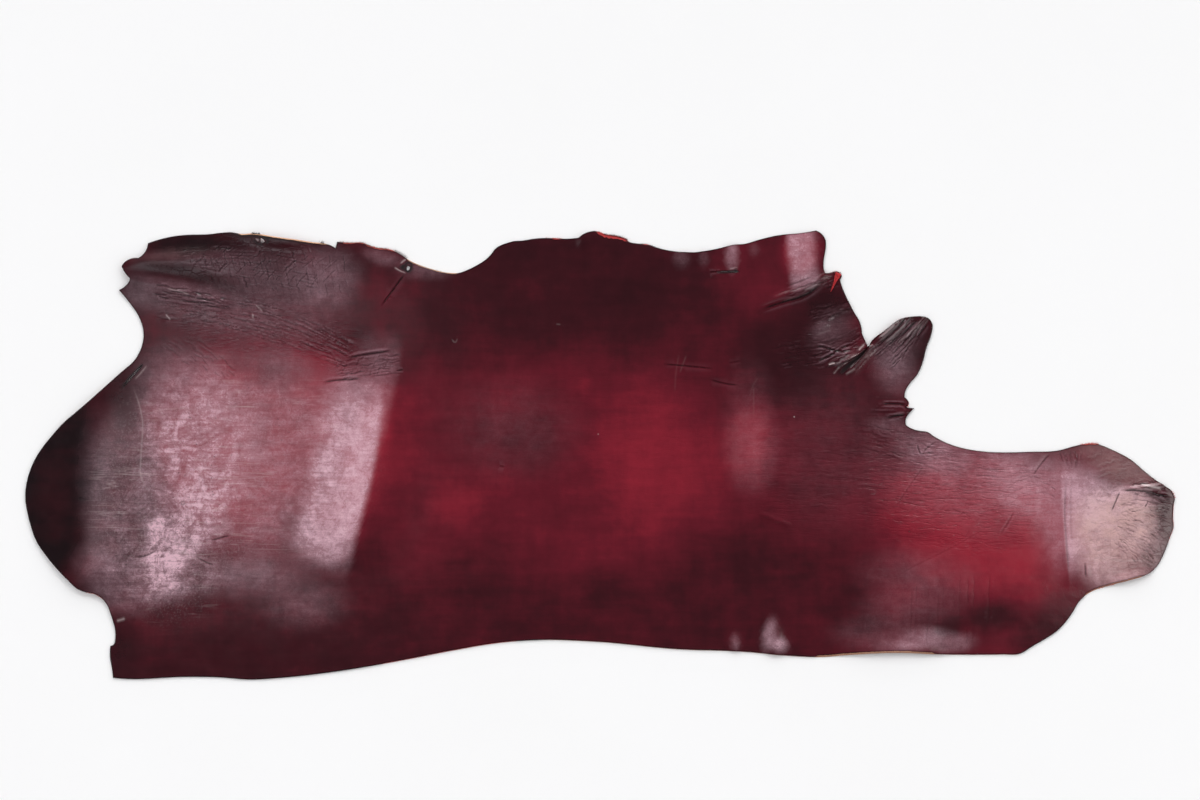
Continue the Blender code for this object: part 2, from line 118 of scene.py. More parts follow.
# Creases: a trough along a path, with its depth, its half width and the height of its raised lips
Crease = namedtuple("Crease", "name depth width lip path")
CREASES = table(Crease, (
    ("stifle upper", 1.1, 2.2, 0.4, ((-561, 212), (-508, 222), (-455, 229))),
    ("stifle lower", 0.8, 2.4, 0.3, ((-612, 159), (-560, 166), (-524, 167))),
    ("groin cut", 1.0, 1.4, 0.1, ((-428, 400), (-455, 363), (-481, 328))),
    ("middle long", 0.9, 1.3, 0.06, ((134, 200), (196, 195), (253, 189))),
    ("middle short", 0.8, 1.3, 0.06, ((240, 167), (270, 158), (306, 154))),
    ("middle small", 0.5, 1.2, 0.05, ((282, 202), (310, 207))),
    ("throat line", 0.3, 1.3, 0.08, ((719, -13), (682, -66), (647, -119))),
    ("neck long", 0.16, 1.2, 0.04, ((865, -149), (763, -209), (700, -240), (638, -273))),
    ("neck fold short", 0.6, 1.4, 0.2, ((990, 4), (965, -26), (950, -48))),
    ("neck nick", 0.35, 1.5, 0.2, ((911, -123), (896, -150), (880, -174))),
    ("neck mark left", 0.8, 1.5, 0.3, ((698, 26), (702, 8), (707, -1))),
    ("neck mark right", 0.7, 1.5, 0.3, ((705, 1), (720, 4), (737, 4))),
    ("neck mark rising", 0.6, 1.5, 0.3, ((707, 0), (722, 18), (741, 30))),
    ("head cut", 1.0, 1.8, 0.3, ((1144, -79), (1134, -102), (1124, -125))),
    ("head nick", 0.7, 1.6, 0.3, ((1206, -101), (1197, -117))),
    ("muzzle crease", 1.2, 2.4, 0.4, ((1144, -78), (1190, -79), (1225, -86), (1258, -91))),
    ("head fold left", 0.35, 2.4, 0.15, ((1025, -53), (1021, -120), (1025, -198), (1032, -270))),
    ("head fold right", 0.2, 2.0, 0.15, ((1036, -50), (1034, -130), (1037, -205))),
    ("cheek short", 0.7, 1.8, 0.2, ((1066, -236), (1068, -270))),
    ("shoulder crease upper", 1.1, 2.2, 0.4, ((674, 110), (645, 113), (620, 112))),
    ("shoulder crease lower", 1.1, 2.2, 0.4, ((672, 88), (652, 86), (629, 80))),
    ("rump mark left", 0.8, 1.6, 0.2, ((-1019, -224), (-998, -221), (-977, -211))),
    ("rump mark low", 0.7, 1.5, 0.2, ((-887, -224), (-868, -235), (-849, -242))),
    ("rump mark right", 0.8, 1.5, 0.2, ((-856, -189), (-834, -182), (-812, -177))),
    ("elbow hollow", 1.0, 3.0, 0.2, ((350, 318), (398, 335), (452, 352), (492, 384))),
    ("belly slit tail", 0.9, 1.4, 0.2, ((240, 402), (266, 404))),
    ("centre scratch", 0.5, 1.4, 0.1, ((-222, -24), (-209, -26))),
    ("elbow curve", 1.0, 2.0, 0.4, ((470, 240), (494, 237), (520, 229), (555, 233))),
    ("elbow ridge", 0.9, 1.8, 0.5, ((470, 203), (500, 216), (533, 236), (560, 245))),
))

# Families of fine wrinkles, between two guide lines that run the same way. Each line is broken
# into pieces of about the given share of its length and strays by its own wave.
Family = namedtuple("Family", "name lines depth width share wave first last")
FAMILIES = table(Family, (
    ("neck wrinkles", 28, 0.27, 1.4, 0.20, 1.8,
     ((541, 90), (671, 58), (792, 4), (890, -4)),
     ((541, -99), (704, -114), (890, -150))),
    ("withers wrinkles", 16, 0.16, 1.7, 0.24, 2.4,
     ((320, 60), (430, 62), (560, 40)), ((330, -110), (430, -120), (560, -110))),
    ("throat wrinkles", 11, 0.34, 1.4, 0.28, 1.8,
     ((590, 70), (660, 48), (740, 24)), ((590, 10), (670, -18), (760, -40))),
    ("neck slants", 10, 0.13, 1.5, 0.32, 2.0,
     ((640, -120), (720, -60), (800, -12)), ((800, -200), (880, -120), (960, -60))),
    ("shank flow", 26, 0.56, 1.3, 0.18, 1.2,
     ((-985, 362), (-847, 350), (-660, 306), (-540, 242)),
     ((-985, 300), (-814, 276), (-660, 228), (-560, 188))),
    ("shank ridge", 8, 0.70, 1.4, 0.26, 1.2,
     ((-985, 380), (-900, 365), (-820, 345)), ((-985, 345), (-900, 334), (-830, 318))),
    ("thigh uprights", 22, 0.52, 1.2, 0.34, 1.1,
     ((-880, 450), (-868, 410), (-850, 372)), ((-560, 452), (-556, 400), (-548, 345))),
    ("thigh slants", 18, 0.50, 1.2, 0.36, 1.1,
     ((-900, 415), (-870, 440), (-835, 462)), ((-620, 350), (-585, 395), (-545, 430))),
    ("thigh level", 12, 0.34, 1.2, 0.18, 1.4,
     ((-960, 448), (-800, 455), (-640, 440)), ((-900, 400), (-760, 380), (-600, 340))),
    ("stifle wrinkles", 11, 0.55, 1.4, 0.32, 1.3,
     ((-592, 204), (-517, 218), (-438, 224)), ((-598, 150), (-517, 166), (-430, 178))),
    ("stifle cross", 9, 0.28, 1.3, 0.45, 1.0,
     ((-585, 176), (-572, 196), (-556, 214)), ((-470, 172), (-462, 198), (-450, 222))),
    ("rump scuffs", 9, 0.35, 1.7, 0.30, 1.8,
     ((-990, 250), (-920, 205), (-880, 170)), ((-900, 262), (-850, 230), (-790, 170))),
    ("elbow lines", 7, 0.55, 1.5, 0.50, 1.0,
     ((386, 362), (448, 386), (500, 404)), ((400, 330), (462, 352), (530, 372))),
    ("elbow web", 7, 0.36, 1.5, 0.45, 1.4,
     ((440, 322), (500, 330), (548, 342)), ((440, 268), (500, 292), (566, 300))),
    ("armpit wrinkles", 12, 0.42, 1.4, 0.45, 1.2,
     ((440, 250), (517, 262), (572, 284)), ((478, 184), (530, 210), (578, 246))),
    ("armpit run", 7, 0.30, 1.5, 0.40, 1.4,
     ((360, 232), (430, 246), (500, 250)), ((380, 180), (440, 186), (500, 192))),
    ("flap wrinkles", 16, 0.72, 1.3, 0.60, 0.8,
     ((578, 222), (630, 262), (672, 304)), ((640, 186), (688, 236), (724, 288))),
    ("flap cross", 9, 0.28, 1.3, 0.45, 1.0,
     ((606, 236), (624, 222), (640, 208)), ((650, 262), (672, 240), (690, 220))),
    ("shoulder wrinkles", 6, 0.36, 1.5, 0.50, 1.1,
     ((580, 128), (626, 124), (672, 120)), ((580, 72), (626, 74), (682, 78))),
    ("head fan", 36, 0.48, 1.3, 0.32, 1.5,
     ((1140, -96), (1200, -94), (1258, -104)),
     ((1128, -196), (1172, -232), (1206, -268))),
    ("head ripples", 14, 0.20, 1.7, 0.26, 3.0,
     ((1080, -90), (1130, -80), (1180, -70)), ((1062, -230), (1110, -232), (1160, -240))),
    ("forehead lines", 7, 0.42, 1.7, 0.70, 1.2,
     ((1003, 12), (1022, -34)), ((1066, 14), (1057, -28))),
    ("forehead slants", 5, 0.16, 1.8, 0.50, 2.0,
     ((1080, -60), (1130, -40), (1180, -28)), ((1060, -20), (1100, 0), (1140, -4))),
    ("neck whorl", 10, 0.30, 1.4, 0.45, 1.8,
     ((880, -44), (950, -30), (1002, -60)), ((900, -110), (955, -86), (1000, -96))),
    ("nape uprights", 10, 0.18, 1.6, 0.50, 1.2,
     ((671, -270), (668, -350), (666, -425)), ((860, -235), (858, -330), (856, -425))),
    ("muzzle wrinkles", 6, 0.75, 1.7, 0.60, 1.4,
     ((1150, -66), (1200, -56), (1236, -58)), ((1150, -88), (1200, -94), (1256, -104))),
))
SEED = 11
WAVES_A_LINE = 5.0
# How a family's lines differ, each as a lowest and a highest share: where a line lies, how many
# waves it has and how large they are, where its first piece starts, and each piece's length,
# depth, width and gap
LINE_STRAY = (-0.45, 0.45)
WAVE_COUNT = (0.6, 1.4)
WAVE_SIZE = (0.3, 1.0)
FIRST_START = (0, 0.25)
PIECE_LENGTH = (0.5, 1.5)
PIECE_DEPTH = (0.35, 1.2)
PIECE_WIDTH = (0.8, 1.3)
PIECE_GAP = (0.02, 0.2)
# The share of a crease's or mark's length over which each of its ends dies out
END_TAPER = 0.22

# Marks: thin lines of another tone, from -1, dark, to 1, pale. Some are the leather's own scars,
# scratches and nicks; the glints and the pale ridges are painted highlights, and every dark mark is
# painted shade in a pleat, hollow, slit, tear or hole or along an edge.
Mark = namedtuple("Mark", "name tone width path")
MARKS = table(Mark, (
    ("rump scar", 0.20, 1.6, ((-1025, 147), (-1005, 79), (-1008, 0), (-1008, -48), (-983, -90))),
    ("rump scratch", 0.14, 1.5, ((-1003, 88), (-946, 101), (-884, 99))),
    ("shank nick left", 0.5, 1.5, ((-955, 310), (-944, 297))),
    ("shank nick right", 0.45, 1.3, ((-763, 312), (-763, 300))),
    ("shank nick top", 0.35, 1.3, ((-757, 330), (-748, 322), (-742, 316))),
    ("shank glint", 0.28, 1.8, ((-950, 366), (-918, 358), (-900, 352))),
    ("tail nick", 0.4, 2.4, ((-1063, -365), (-1043, -359))),
    ("middle scratch left", 0.025, 1.8, ((174, 222), (167, 180), (165, 139))),
    ("middle scratch right", 0.04, 1.6, ((190, 220), (175, 180))),
    ("shoulder streak", 0.022, 2.0, ((330, 125), (337, 154), (350, 172))),
    ("shoulder line", 0.03, 1.6, ((338, 154), (338, 79))),
    ("flank hook", 0.12, 1.4, ((-326, 256), (-318, 248), (-314, 257))),
    ("flank dash", 0.10, 1.4, ((-97, 288), (-86, 287))),
    ("muzzle glint", 0.80, 3.0, ((1188, -63), (1213, -69), (1236, -74))),
    ("muzzle glint low", 0.30, 1.8, ((1192, -72), (1216, -78))),
    ("cheek nick", 0.14, 4.0, ((1076, -240), (1078, -270))),
    ("armpit glint low", 0.95, 1.7, ((503, 198), (509, 201), (516, 203))),
    ("armpit glint foot", 0.25, 1.4, ((513, 178), (520, 186), (527, 195))),
    ("armpit glint middle", 0.60, 1.4, ((534, 200), (547, 205))),
    ("armpit glint line", 0.75, 1.1, ((538, 209), (556, 219), (571, 226))),
    ("armpit glint high", 0.40, 1.4, ((566, 231), (579, 245))),
    ("armpit ridge low", 0.30, 2.4, ((538, 177), (550, 184), (561, 191))),
    ("armpit ridge high", 0.16, 2.0, ((580, 213), (594, 221), (608, 229))),
    ("armpit line", -0.8, 1.7, ((494, 192), (523, 201), (546, 211), (568, 221))),
    ("elbow glint", 0.08, 2.0, ((474, 264), (492, 270), (510, 276))),
    ("elbow fold glint", 0.30, 1.5, ((448, 362), (462, 368), (478, 376))),
    ("armpit shadow", -1.0, 5.2, ((524, 175), (549, 199), (570, 217), (588, 238))),
    ("flap line near", -0.7, 2.2, ((612, 242), (640, 268), (668, 294))),
    ("flap line far", -0.7, 2.4, ((634, 240), (668, 270), (704, 299))),
    ("flap ridge near", 0.22, 1.8, ((622, 244), (650, 269), (678, 294))),
    ("flap ridge far", 0.20, 1.8, ((654, 246), (680, 268), (708, 292))),
    ("rump slit rim", -1.0, 3.4, ((-1051, 145), (-1032, 170), (-1018, 184), (-1003, 201))),
    ("rump slit lip", 0.22, 1.8, ((-1022, 166), (-1006, 184), (-996, 197))),
    ("belly slit shadow", -1.0, 2.8, ((252, 402), (280, 402), (302, 405))),
    ("belly slit lip", 0.35, 1.6, ((284, 409), (302, 411))),
    ("tear rim", -1.0, 3.6, ((-446, 414), (-430, 416), (-424, 422), (-416, 421),
     (-415, 411), (-420, 404), (-432, 409), (-446, 414))),
    ("tear lip low", 0.50, 1.7, ((-452, 413), (-440, 406), (-424, 400))),
    ("tear lip high", 0.45, 1.7, ((-438, 420), (-432, 427), (-426, 430))),
    ("hole rim", -0.9, 2.8, ((-736, 463), (-729, 470), (-735, 479), (-745, 480))),
    ("hole rim low", -0.9, 2.8, ((-762, 474), (-752, 465), (-740, 462))),
    ("hole lip", 0.40, 3.4, ((-757, 476), (-749, 470))),
    ("thigh edge shadow", -0.7, 4.0,
     ((-840, 486), (-790, 484), (-720, 477), (-660, 468), (-604, 458))),
    ("groin cut line", -0.5, 1.3, ((-428, 402), (-455, 363), (-481, 328))),
    ("shank hollow", -0.45, 15.0,
     ((-1030, 428), (-1006, 416), (-945, 408), (-888, 394), (-820, 370), (-770, 358))),
    ("head fold line", -0.12, 2.2, ((1025, -53), (1021, -120), (1025, -198), (1032, -270))),
    ("muzzle shadow", -0.6, 4.0, ((1196, -86), (1230, -92), (1258, -98))),
))

# Spots: small round marks, with a radius and the same tones. The dark spots in the tear and at the
# belly slit's end are painted shade.
Spot = namedtuple("Spot", "name x y radius tone")
SPOTS = table(Spot, (
    ("shoulder dot", 427, 84, 1.5, 0.6),
    ("rump pit rim", -917, -106, 4.5, -0.8),
    ("rump pit", -917, -105, 1.8, 0.7),
    ("middle dot", -4, 46, 1.5, 0.3),
    ("nape pore", 680, -168, 2.2, -0.7),
    ("rump fleck", -557, -102, 1.6, 0.4),
    ("tear dark", -433, 414, 5.0, -1.0),
    ("belly slit end", 298, 405, 4.5, -1.0),
))

# Patches: each pulls a value towards its own level inside its ellipse, over a soft edge that takes
# the given share of the ellipse
Patch = namedtuple("Patch", "name x y half_length half_width turn level strength edge")

# The dye, from 0, burnt dark, to 1, full red
DYE_BASE = 0.42
DYE = table(Patch, (
    ("middle", -60, -20, 620, 300, 0, 0.66, 0.95, 0.45),
    ("top band", -60, 390, 430, 160, 0, 0.29, 0.85, 0.6),
    ("top dark", 60, 340, 140, 90, 0, 0.24, 0.7, 0.8),
    ("groin dark", -330, 330, 130, 90, 20, 0.30, 0.6, 0.8),
    ("crease red", -405, 40, 90, 240, -12, 0.62, 0.85, 0.7),
    ("crease red low", -400, -180, 110, 150, -10, 0.58, 0.7, 0.8),
    ("middle red", 120, 0, 190, 210, 0, 0.94, 0.8, 0.9),
    ("middle red low", 110, -110, 110, 120, 0, 0.84, 0.5, 0.8),
    # The middle glow paints a highlight into the dye as full red
    ("middle glow", 334, 24, 84, 130, 0, 1.0, 0.85, 1.0),
    ("left glow", -308, -120, 110, 80, 0, 0.88, 0.6, 0.9),
    ("left smudge", -270, 40, 90, 90, 0, 0.50, 0.6, 0.9),
    ("middle smudge", -150, 30, 120, 110, 0, 0.46, 0.7, 0.9),
    ("low smudge", -240, -230, 130, 90, 20, 0.44, 0.6, 0.9),
    ("low right dark", 340, -300, 260, 150, 0, 0.40, 0.75, 0.7),
    ("withers", 480, -60, 200, 200, 0, 0.56, 0.7, 0.7),
    ("elbow dark", 430, 230, 170, 130, 35, 0.22, 0.85, 0.7),
    ("elbow red", 330, 400, 130, 130, 0, 0.62, 0.7, 0.7),
    ("elbow bar red", 440, 450, 60, 84, 0, 0.96, 0.8, 0.6),
    ("elbow side", 500, 326, 74, 62, -50, 0.13, 0.75, 0.8),
    ("flap", 676, 236, 100, 76, 50, 0.17, 0.8, 0.6),
    ("neck", 850, -150, 390, 250, -8, 0.93, 0.95, 0.7),
    ("neck red", 860, -210, 230, 130, -6, 0.95, 0.85, 0.9),
    ("neck left red", 700, -100, 110, 90, -30, 0.84, 0.6, 0.9),
    ("throat dark", 640, 20, 130, 80, -10, 0.46, 0.6, 0.9),
    ("nape dark", 780, -420, 330, 80, 0, 0.56, 0.8, 0.6),
    ("nape left red", 664, -316, 120, 66, 0, 0.76, 0.7, 0.9),
    ("nape blot left", 772, -376, 50, 34, 20, 0.12, 0.6, 1.0),
    ("nape blot right", 870, -352, 90, 46, 14, 0.16, 0.7, 1.0),
    ("nape red", 970, -280, 110, 70, 30, 0.78, 0.7, 0.9),
    ("nape tip", 960, -400, 90, 60, 30, 0.24, 0.6, 0.9),
    ("head top", 1130, -20, 130, 60, -26, 0.62, 0.8, 0.6),
    ("muzzle", 1250, -170, 90, 130, 10, 0.12, 0.8, 0.8),
    ("rump", -720, 20, 370, 290, 0, 0.86, 0.92, 0.45),
    ("streak red", -522, -20, 64, 230, -14, 0.98, 0.8, 0.7),
    ("rump smudge", -720, 190, 110, 60, -10, 0.50, 0.6, 1.0),
    ("rump low smudge", -680, -160, 110, 90, 0, 0.58, 0.7, 1.0),
    ("tail side", -1050, -60, 110, 280, 8, 0.38, 0.85, 0.6),
    ("bottom band", -700, -460, 480, 140, 0, 0.31, 0.9, 0.6),
    ("shank brown", -820, 420, 260, 110, -8, 0.20, 0.85, 0.6),
    ("thigh edge", -890, 464, 200, 34, 0, 0.02, 0.85, 0.8),
    ("groin red", -490, 370, 80, 90, 0, 0.52, 0.6, 0.9),
    ("tail corner", -1110, -300, 90, 70, 0, 0.18, 0.7, 0.9),
    ("tail dark", -1070, -440, 90, 120, 0, 0.20, 0.7, 0.8),
    ("rump lobe", -1245, -70, 170, 330, -10, 0.0, 1.0, 0.40),
    ("rump lobe glow", -1200, -90, 70, 180, 4, 0.20, 0.9, 1.0),
    ("rump slit side", -1046, 150, 110, 84, 42, 0.20, 0.8, 0.8),
    ("shank root", -1020, 372, 96, 84, 0, 0.16, 0.8, 0.8),
    ("thigh right", -540, 430, 110, 50, -10, 0.28, 0.7, 0.8),
))

# Sheen and bloom, from 0 up: the greyish bloom of a rubbed grain side, together with painted sheen
# and highlights, such as the rump's bright speckle, the bars, the glows, the gloss and the head
SHEEN_AND_BLOOM = table(Patch, (
    ("rump", -770, 0, 310, 260, 0, 0.30, 0.9, 0.5),
    ("tail side", -1060, -110, 96, 250, 8, 0.19, 0.95, 0.7),
    ("speckled top", -940, 150, 110, 130, 0, 0.34, 0.8, 0.9),
    ("tail corner", -1066, -244, 110, 90, 0, 0.42, 0.8, 0.9),
    ("tail corner low", -1040, -312, 110, 56, 0, 0.28, 0.8, 0.9),
    ("tail corner right", -980, -284, 84, 56, 0, 0.66, 0.8, 1.0),
    ("speckled", -885, 0, 165, 260, -8, 0.78, 0.85, 0.8),
    ("speckled slant", -896, -152, 190, 80, 57, 1.10, 0.8, 0.9),
    ("speckled low", -950, -214, 78, 130, 14, 1.55, 0.9, 0.9),
    ("rump smudge", -776, 184, 90, 56, 0, 0.07, 0.9, 0.9),
    ("rump top right", -690, 200, 80, 60, -8, 0.17, 0.8, 0.9),
    ("rump hollow", -786, -112, 62, 46, 10, 0.14, 0.6, 1.0),
    ("rump grey", -680, -130, 120, 110, 10, 0.24, 0.6, 0.9),
    ("bottom sheen", -770, -262, 170, 70, 0, 0.32, 0.75, 0.9),
    ("bottom sheen left", -880, -262, 70, 64, 20, 0.52, 0.7, 1.0),
    ("bottom sheen right", -650, -326, 130, 78, 0, 0.25, 0.7, 1.0),
    ("shank", -780, 350, 300, 130, -8, 0.15, 0.8, 0.6),
    ("shank ridge", -940, 436, 120, 26, 4, 0.05, 0.8, 0.9),
    ("thigh edge", -900, 462, 190, 26, 0, 0.0, 0.9, 0.8),
    ("shank root", -1004, 356, 84, 56, -8, 0.20, 0.8, 0.9),
    ("thigh sheen", -604, 390, 104, 90, 0, 0.38, 0.7, 0.8),
    ("stifle sheen", -478, 436, 62, 26, -16, 0.30, 0.7, 0.9),
    ("shank hollow", -910, 398, 150, 26, -8, 0.0, 0.95, 0.7),
    ("groin sheen", -380, 410, 90, 34, 0, 0.28, 0.6, 0.9),
    ("middle glow", 330, 60, 84, 190, 0, 0.10, 0.8, 1.0),
    ("middle glow low", 338, 10, 80, 120, 0, 0.19, 0.8, 1.0),
    ("middle bloom", -190, 60, 200, 150, 0, 0.07, 0.8, 1.0),
    ("belly bar", 290, 440, 20, 52, 0, 0.50, 0.9, 0.8),
    ("belly bar near", 178, 432, 26, 30, 0, 0.22, 0.8, 1.0),
    ("belly bar middle", 228, 432, 16, 28, 0, 0.16, 0.8, 1.0),
    ("belly bar far", 338, 452, 18, 22, 0, 0.14, 0.8, 1.0),
    ("elbow sheen", 512, 276, 80, 56, 30, 0.20, 0.6, 1.0),
    ("elbow blister", 489, 276, 34, 24, 30, 0.30, 0.7, 1.0),
    ("flap", 660, 240, 80, 60, 50, 0.07, 0.8, 0.7),
    ("flap sheen", 646, 190, 66, 84, 24, 0.36, 0.8, 1.0),
    ("backbone bar", 372, -396, 22, 54, -12, 0.62, 0.9, 1.0),
    ("backbone bar foot", 392, -416, 32, 26, -30, 0.85, 0.9, 1.0),
    ("backbone bar near", 297, -412, 16, 30, 0, 0.30, 0.8, 1.0),
    ("backbone bar far", 690, -406, 110, 36, 6, 0.78, 0.85, 1.0),
    ("backbone bar end", 776, -414, 70, 32, 6, 0.46, 0.8, 1.0),
    ("backbone sheen", 620, -392, 150, 54, 0, 0.13, 0.8, 0.9),
    ("withers", 510, 10, 190, 240, 0, 0.045, 0.8, 0.8),
    ("neck low", 704, -270, 180, 90, -6, 0.15, 0.7, 0.9),
    ("nape left", 680, -336, 150, 56, 0, 0.15, 0.7, 0.9),
    ("neck", 840, -50, 300, 160, -6, 0.20, 0.85, 0.8),
    ("neck right", 990, -140, 70, 150, 0, 0.24, 0.7, 0.9),
    ("throat sheen", 742, 0, 130, 70, -24, 0.50, 0.7, 0.9),
    ("shoulder sheen", 640, 62, 70, 30, -8, 0.26, 0.6, 0.9),
    ("whorl", 930, -66, 140, 90, -24, 0.66, 0.85, 0.9),
    ("forehead", 1010, -60, 90, 80, 0, 0.44, 0.6, 0.9),
    ("head", 1140, -200, 118, 130, 0, 0.68, 0.9, 0.5),
    ("head middle", 1096, -126, 92, 84, 0, 1.60, 0.9, 0.9),
    ("head low", 1154, -240, 80, 44, 14, 0.30, 0.8, 1.0),
    ("head fold side", 1004, -160, 40, 140, 4, 0.46, 0.8, 1.0),
    ("head top", 1122, -8, 124, 52, -26, 0.05, 0.9, 0.7),
    ("muzzle gloss", 1160, -96, 80, 40, -8, 1.40, 0.9, 0.9),
    ("muzzle", 1262, -176, 44, 120, 6, 0.05, 0.9, 0.9),
    ("muzzle low", 1204, -230, 84, 50, 40, 0.10, 0.85, 0.9),
))

# Bands of painted highlight, in the bloom's colour, along a fold's crest: how far each reaches to
# the left and to the right of its path's run, its level, and which of its ends fade
Band = namedtuple("Band", "name left right level fades path")
PAINTED_HIGHLIGHT_BANDS = table(Band, (
    ("streak", 128, 36, 1.02, "both",
     ((-586, -290), (-560, -170), (-530, -55), (-512, 40), (-500, 130), (-486, 214))),
    ("streak top", 80, 40, 0.20, "both", ((-520, -20), (-494, 90), (-476, 180), (-462, 290))),
    ("streak low", 110, 24, 1.12, "both",
     ((-600, -262), (-580, -195), (-552, -110), (-536, -20), (-520, 50))),
    ("elbow bar", 48, 32, 0.62, "end", ((434, 500), (437, 440), (448, 350))),
    ("head edge", 110, 9, 0.86, "both", ((1024, 0), (1020, -70), (1024, -140), (1040, -290))),
))

# Tan: where the dye is thin and the brown leather shows, from 0 to 1. On the head it also paints
# part of the head's highlight in warm brown.
TAN_AND_HEAD_SHEEN = table(Patch, (
    ("head", 1134, -184, 118, 136, 0, 0.58, 0.9, 0.6),
    ("head right", 1172, -140, 70, 90, 0, 0.84, 0.9, 0.9),
    ("head middle", 1100, -146, 90, 84, 0, 0.70, 0.8, 0.9),
    ("head top", 1140, -12, 120, 56, -26, 0.16, 0.85, 0.7),
    ("muzzle", 1262, -176, 48, 120, 6, 0.10, 0.9, 0.9),
    ("muzzle low", 1204, -230, 84, 50, 40, 0.22, 0.85, 0.9),
    ("shank ridge", -940, 440, 130, 24, 6, 0.05, 0.8, 0.9),
))

# Speckle: fine pale and dark flecks, from 0 to 1
SPECKLE = table(Patch, (
    ("rump", -800, -20, 330, 280, 0, 0.6, 1.0, 0.5),
    ("rump left", -950, -110, 205, 300, 0, 1.0, 1.0, 0.5),
    ("streak", -530, -40, 90, 220, -14, 0.15, 0.8, 0.7),
    ("head", 1150, -160, 130, 150, 0, 0.5, 1.0, 0.5),
))

# Grain wrinkles too fine for the mesh: level ones, and a net of crossing ones, from 0 to 1
LEVEL_WRINKLES = table(Patch, (
    ("neck", 760, -60, 300, 180, -8, 1.0, 1.0, 0.5),
    ("withers", 450, -20, 200, 220, 0, 0.7, 0.8, 0.6),
    ("middle", 60, 60, 560, 300, 0, 0.22, 0.6, 0.6),
    ("shank", -720, 280, 280, 90, -12, 0.8, 0.9, 0.6),
    ("armpit", 490, 240, 130, 90, 20, 0.7, 0.9, 0.6),
))
NET_WRINKLES = table(Patch, (
    ("thigh", -750, 400, 260, 100, -6, 1.0, 1.0, 0.5),
    ("stifle", -520, 200, 110, 70, 8, 0.8, 1.0, 0.6),
    ("head", 1150, -170, 130, 140, 0, 0.8, 1.0, 0.5),
    ("flap", 640, 220, 90, 60, 45, 0.9, 1.0, 0.6),
    ("rump left", -960, 150, 120, 120, 0, 0.5, 0.9, 0.7),
))

# Zones of a finer mesh, each an ellipse with the distance between its points
Zone = namedtuple("Zone", "name x y half_length half_width turn step")
ZONES = table(Zone, (
    ("groin tear", -425, 412, 28, 22, 0, 2.0),
    ("thigh hole", -744, 471, 20, 14, 0, 2.0),
    ("belly slit", 284, 403, 34, 12, 0, 2.4),
    ("tag root", 520, 394, 22, 20, 0, 2.4),
    ("rump slit", -1025, 174, 44, 16, 48, 2.6),
    ("armpit", 540, 222, 74, 44, 42, 2.8),
    ("stifle", -515, 196, 96, 48, 6, 3.4),
    ("flap", 652, 246, 92, 64, 50, 3.4),
    ("muzzle", 1190, -140, 80, 140, 0, 3.6),
    ("elbow", 470, 320, 110, 106, 20, 3.8),
    ("shank", -770, 366, 310, 118, -9, 3.9),
    ("shoulder", 640, 96, 70, 50, 0, 3.9),
    ("neck", 760, -60, 240, 130, -14, 4.6),
    ("head", 1080, -140, 130, 170, 0, 4.6),
    ("nape", 770, -330, 120, 100, 0, 6.0),
    ("rump", -760, -10, 360, 280, 0, 7.0),
))
BASE_STEP = 9.5
UNDERSIDE_STEP = 15.0

# Stretches of the cut edge where its face slants and shows: from one end to the other, how wide the
# face is, how ragged, and how much of it is pale tan or red flesh
Stretch = namedtuple("Stretch", "name x0 y0 x1 y1 width ragged tan red")
STRETCHES = table(Stretch, (
    ("backbone tail", -484, -460, -176, -409, 1.5, 0.3, 0.0, 0.8),
    ("backbone middle", -132, -409, 924, -440, 1.1, 0.3, 0.2, 0.4),
    # The lifted backbone stretch's wide pale face is partly the cut face and partly painted shade
    # under the lifted edge
    ("backbone lifted", 470, -440, 740, -440, 4.4, 0.4, 0.7, 0.2),
    ("cheek", 1063, -310, 1195, -266, 2.8, 0.4, 0.5, 0.6),
    ("muzzle", 1256, -200, 1262, -100, 1.4, 0.3, 0.0, 0.8),
    ("forehead", 1096, 25, 1060, 23, 2.2, 0.9, 0.1, 0.9),
    ("flank red thin", 114, 460, 88, 464, 1.9, 0.8, 0.0, 1.0),
    ("flank red", 62, 468, -11, 490, 6.0, 1.8, 0.0, 1.0),
    ("flank fleck", -82, 477, -108, 477, 2.4, 1.2, 0.0, 1.0),
    ("groin peach", -308, 400, -431, 430, 1.9, 0.4, 0.7, 0.2),
    ("stifle torn", -446, 444, -572, 469, 2.2, 1.4, 0.1, 0.7),
    ("thigh cut", -596, 461, -799, 488, 2.4, 0.4, 1.0, 0.1),
    ("tail root", -1130, -301, -1087, -324, 1.2, 0.8, 0.1, 0.7),
    ("shoulder", 674, 128, 672, 104, 1.0, 0.6, 0.0, 0.7),
))
# The length over which each end of a stretch dies out
STRETCH_FADE = 10.0
# How wide the face is on the rest of the edge
PLAIN_EDGE = 0.35
# Two rows of the grain side's points run at these distances from its border, and the rim within
# the second is darker
SHOULDER = 1.1
RIM = 3.4
RIM_DARKNESS = 0.9

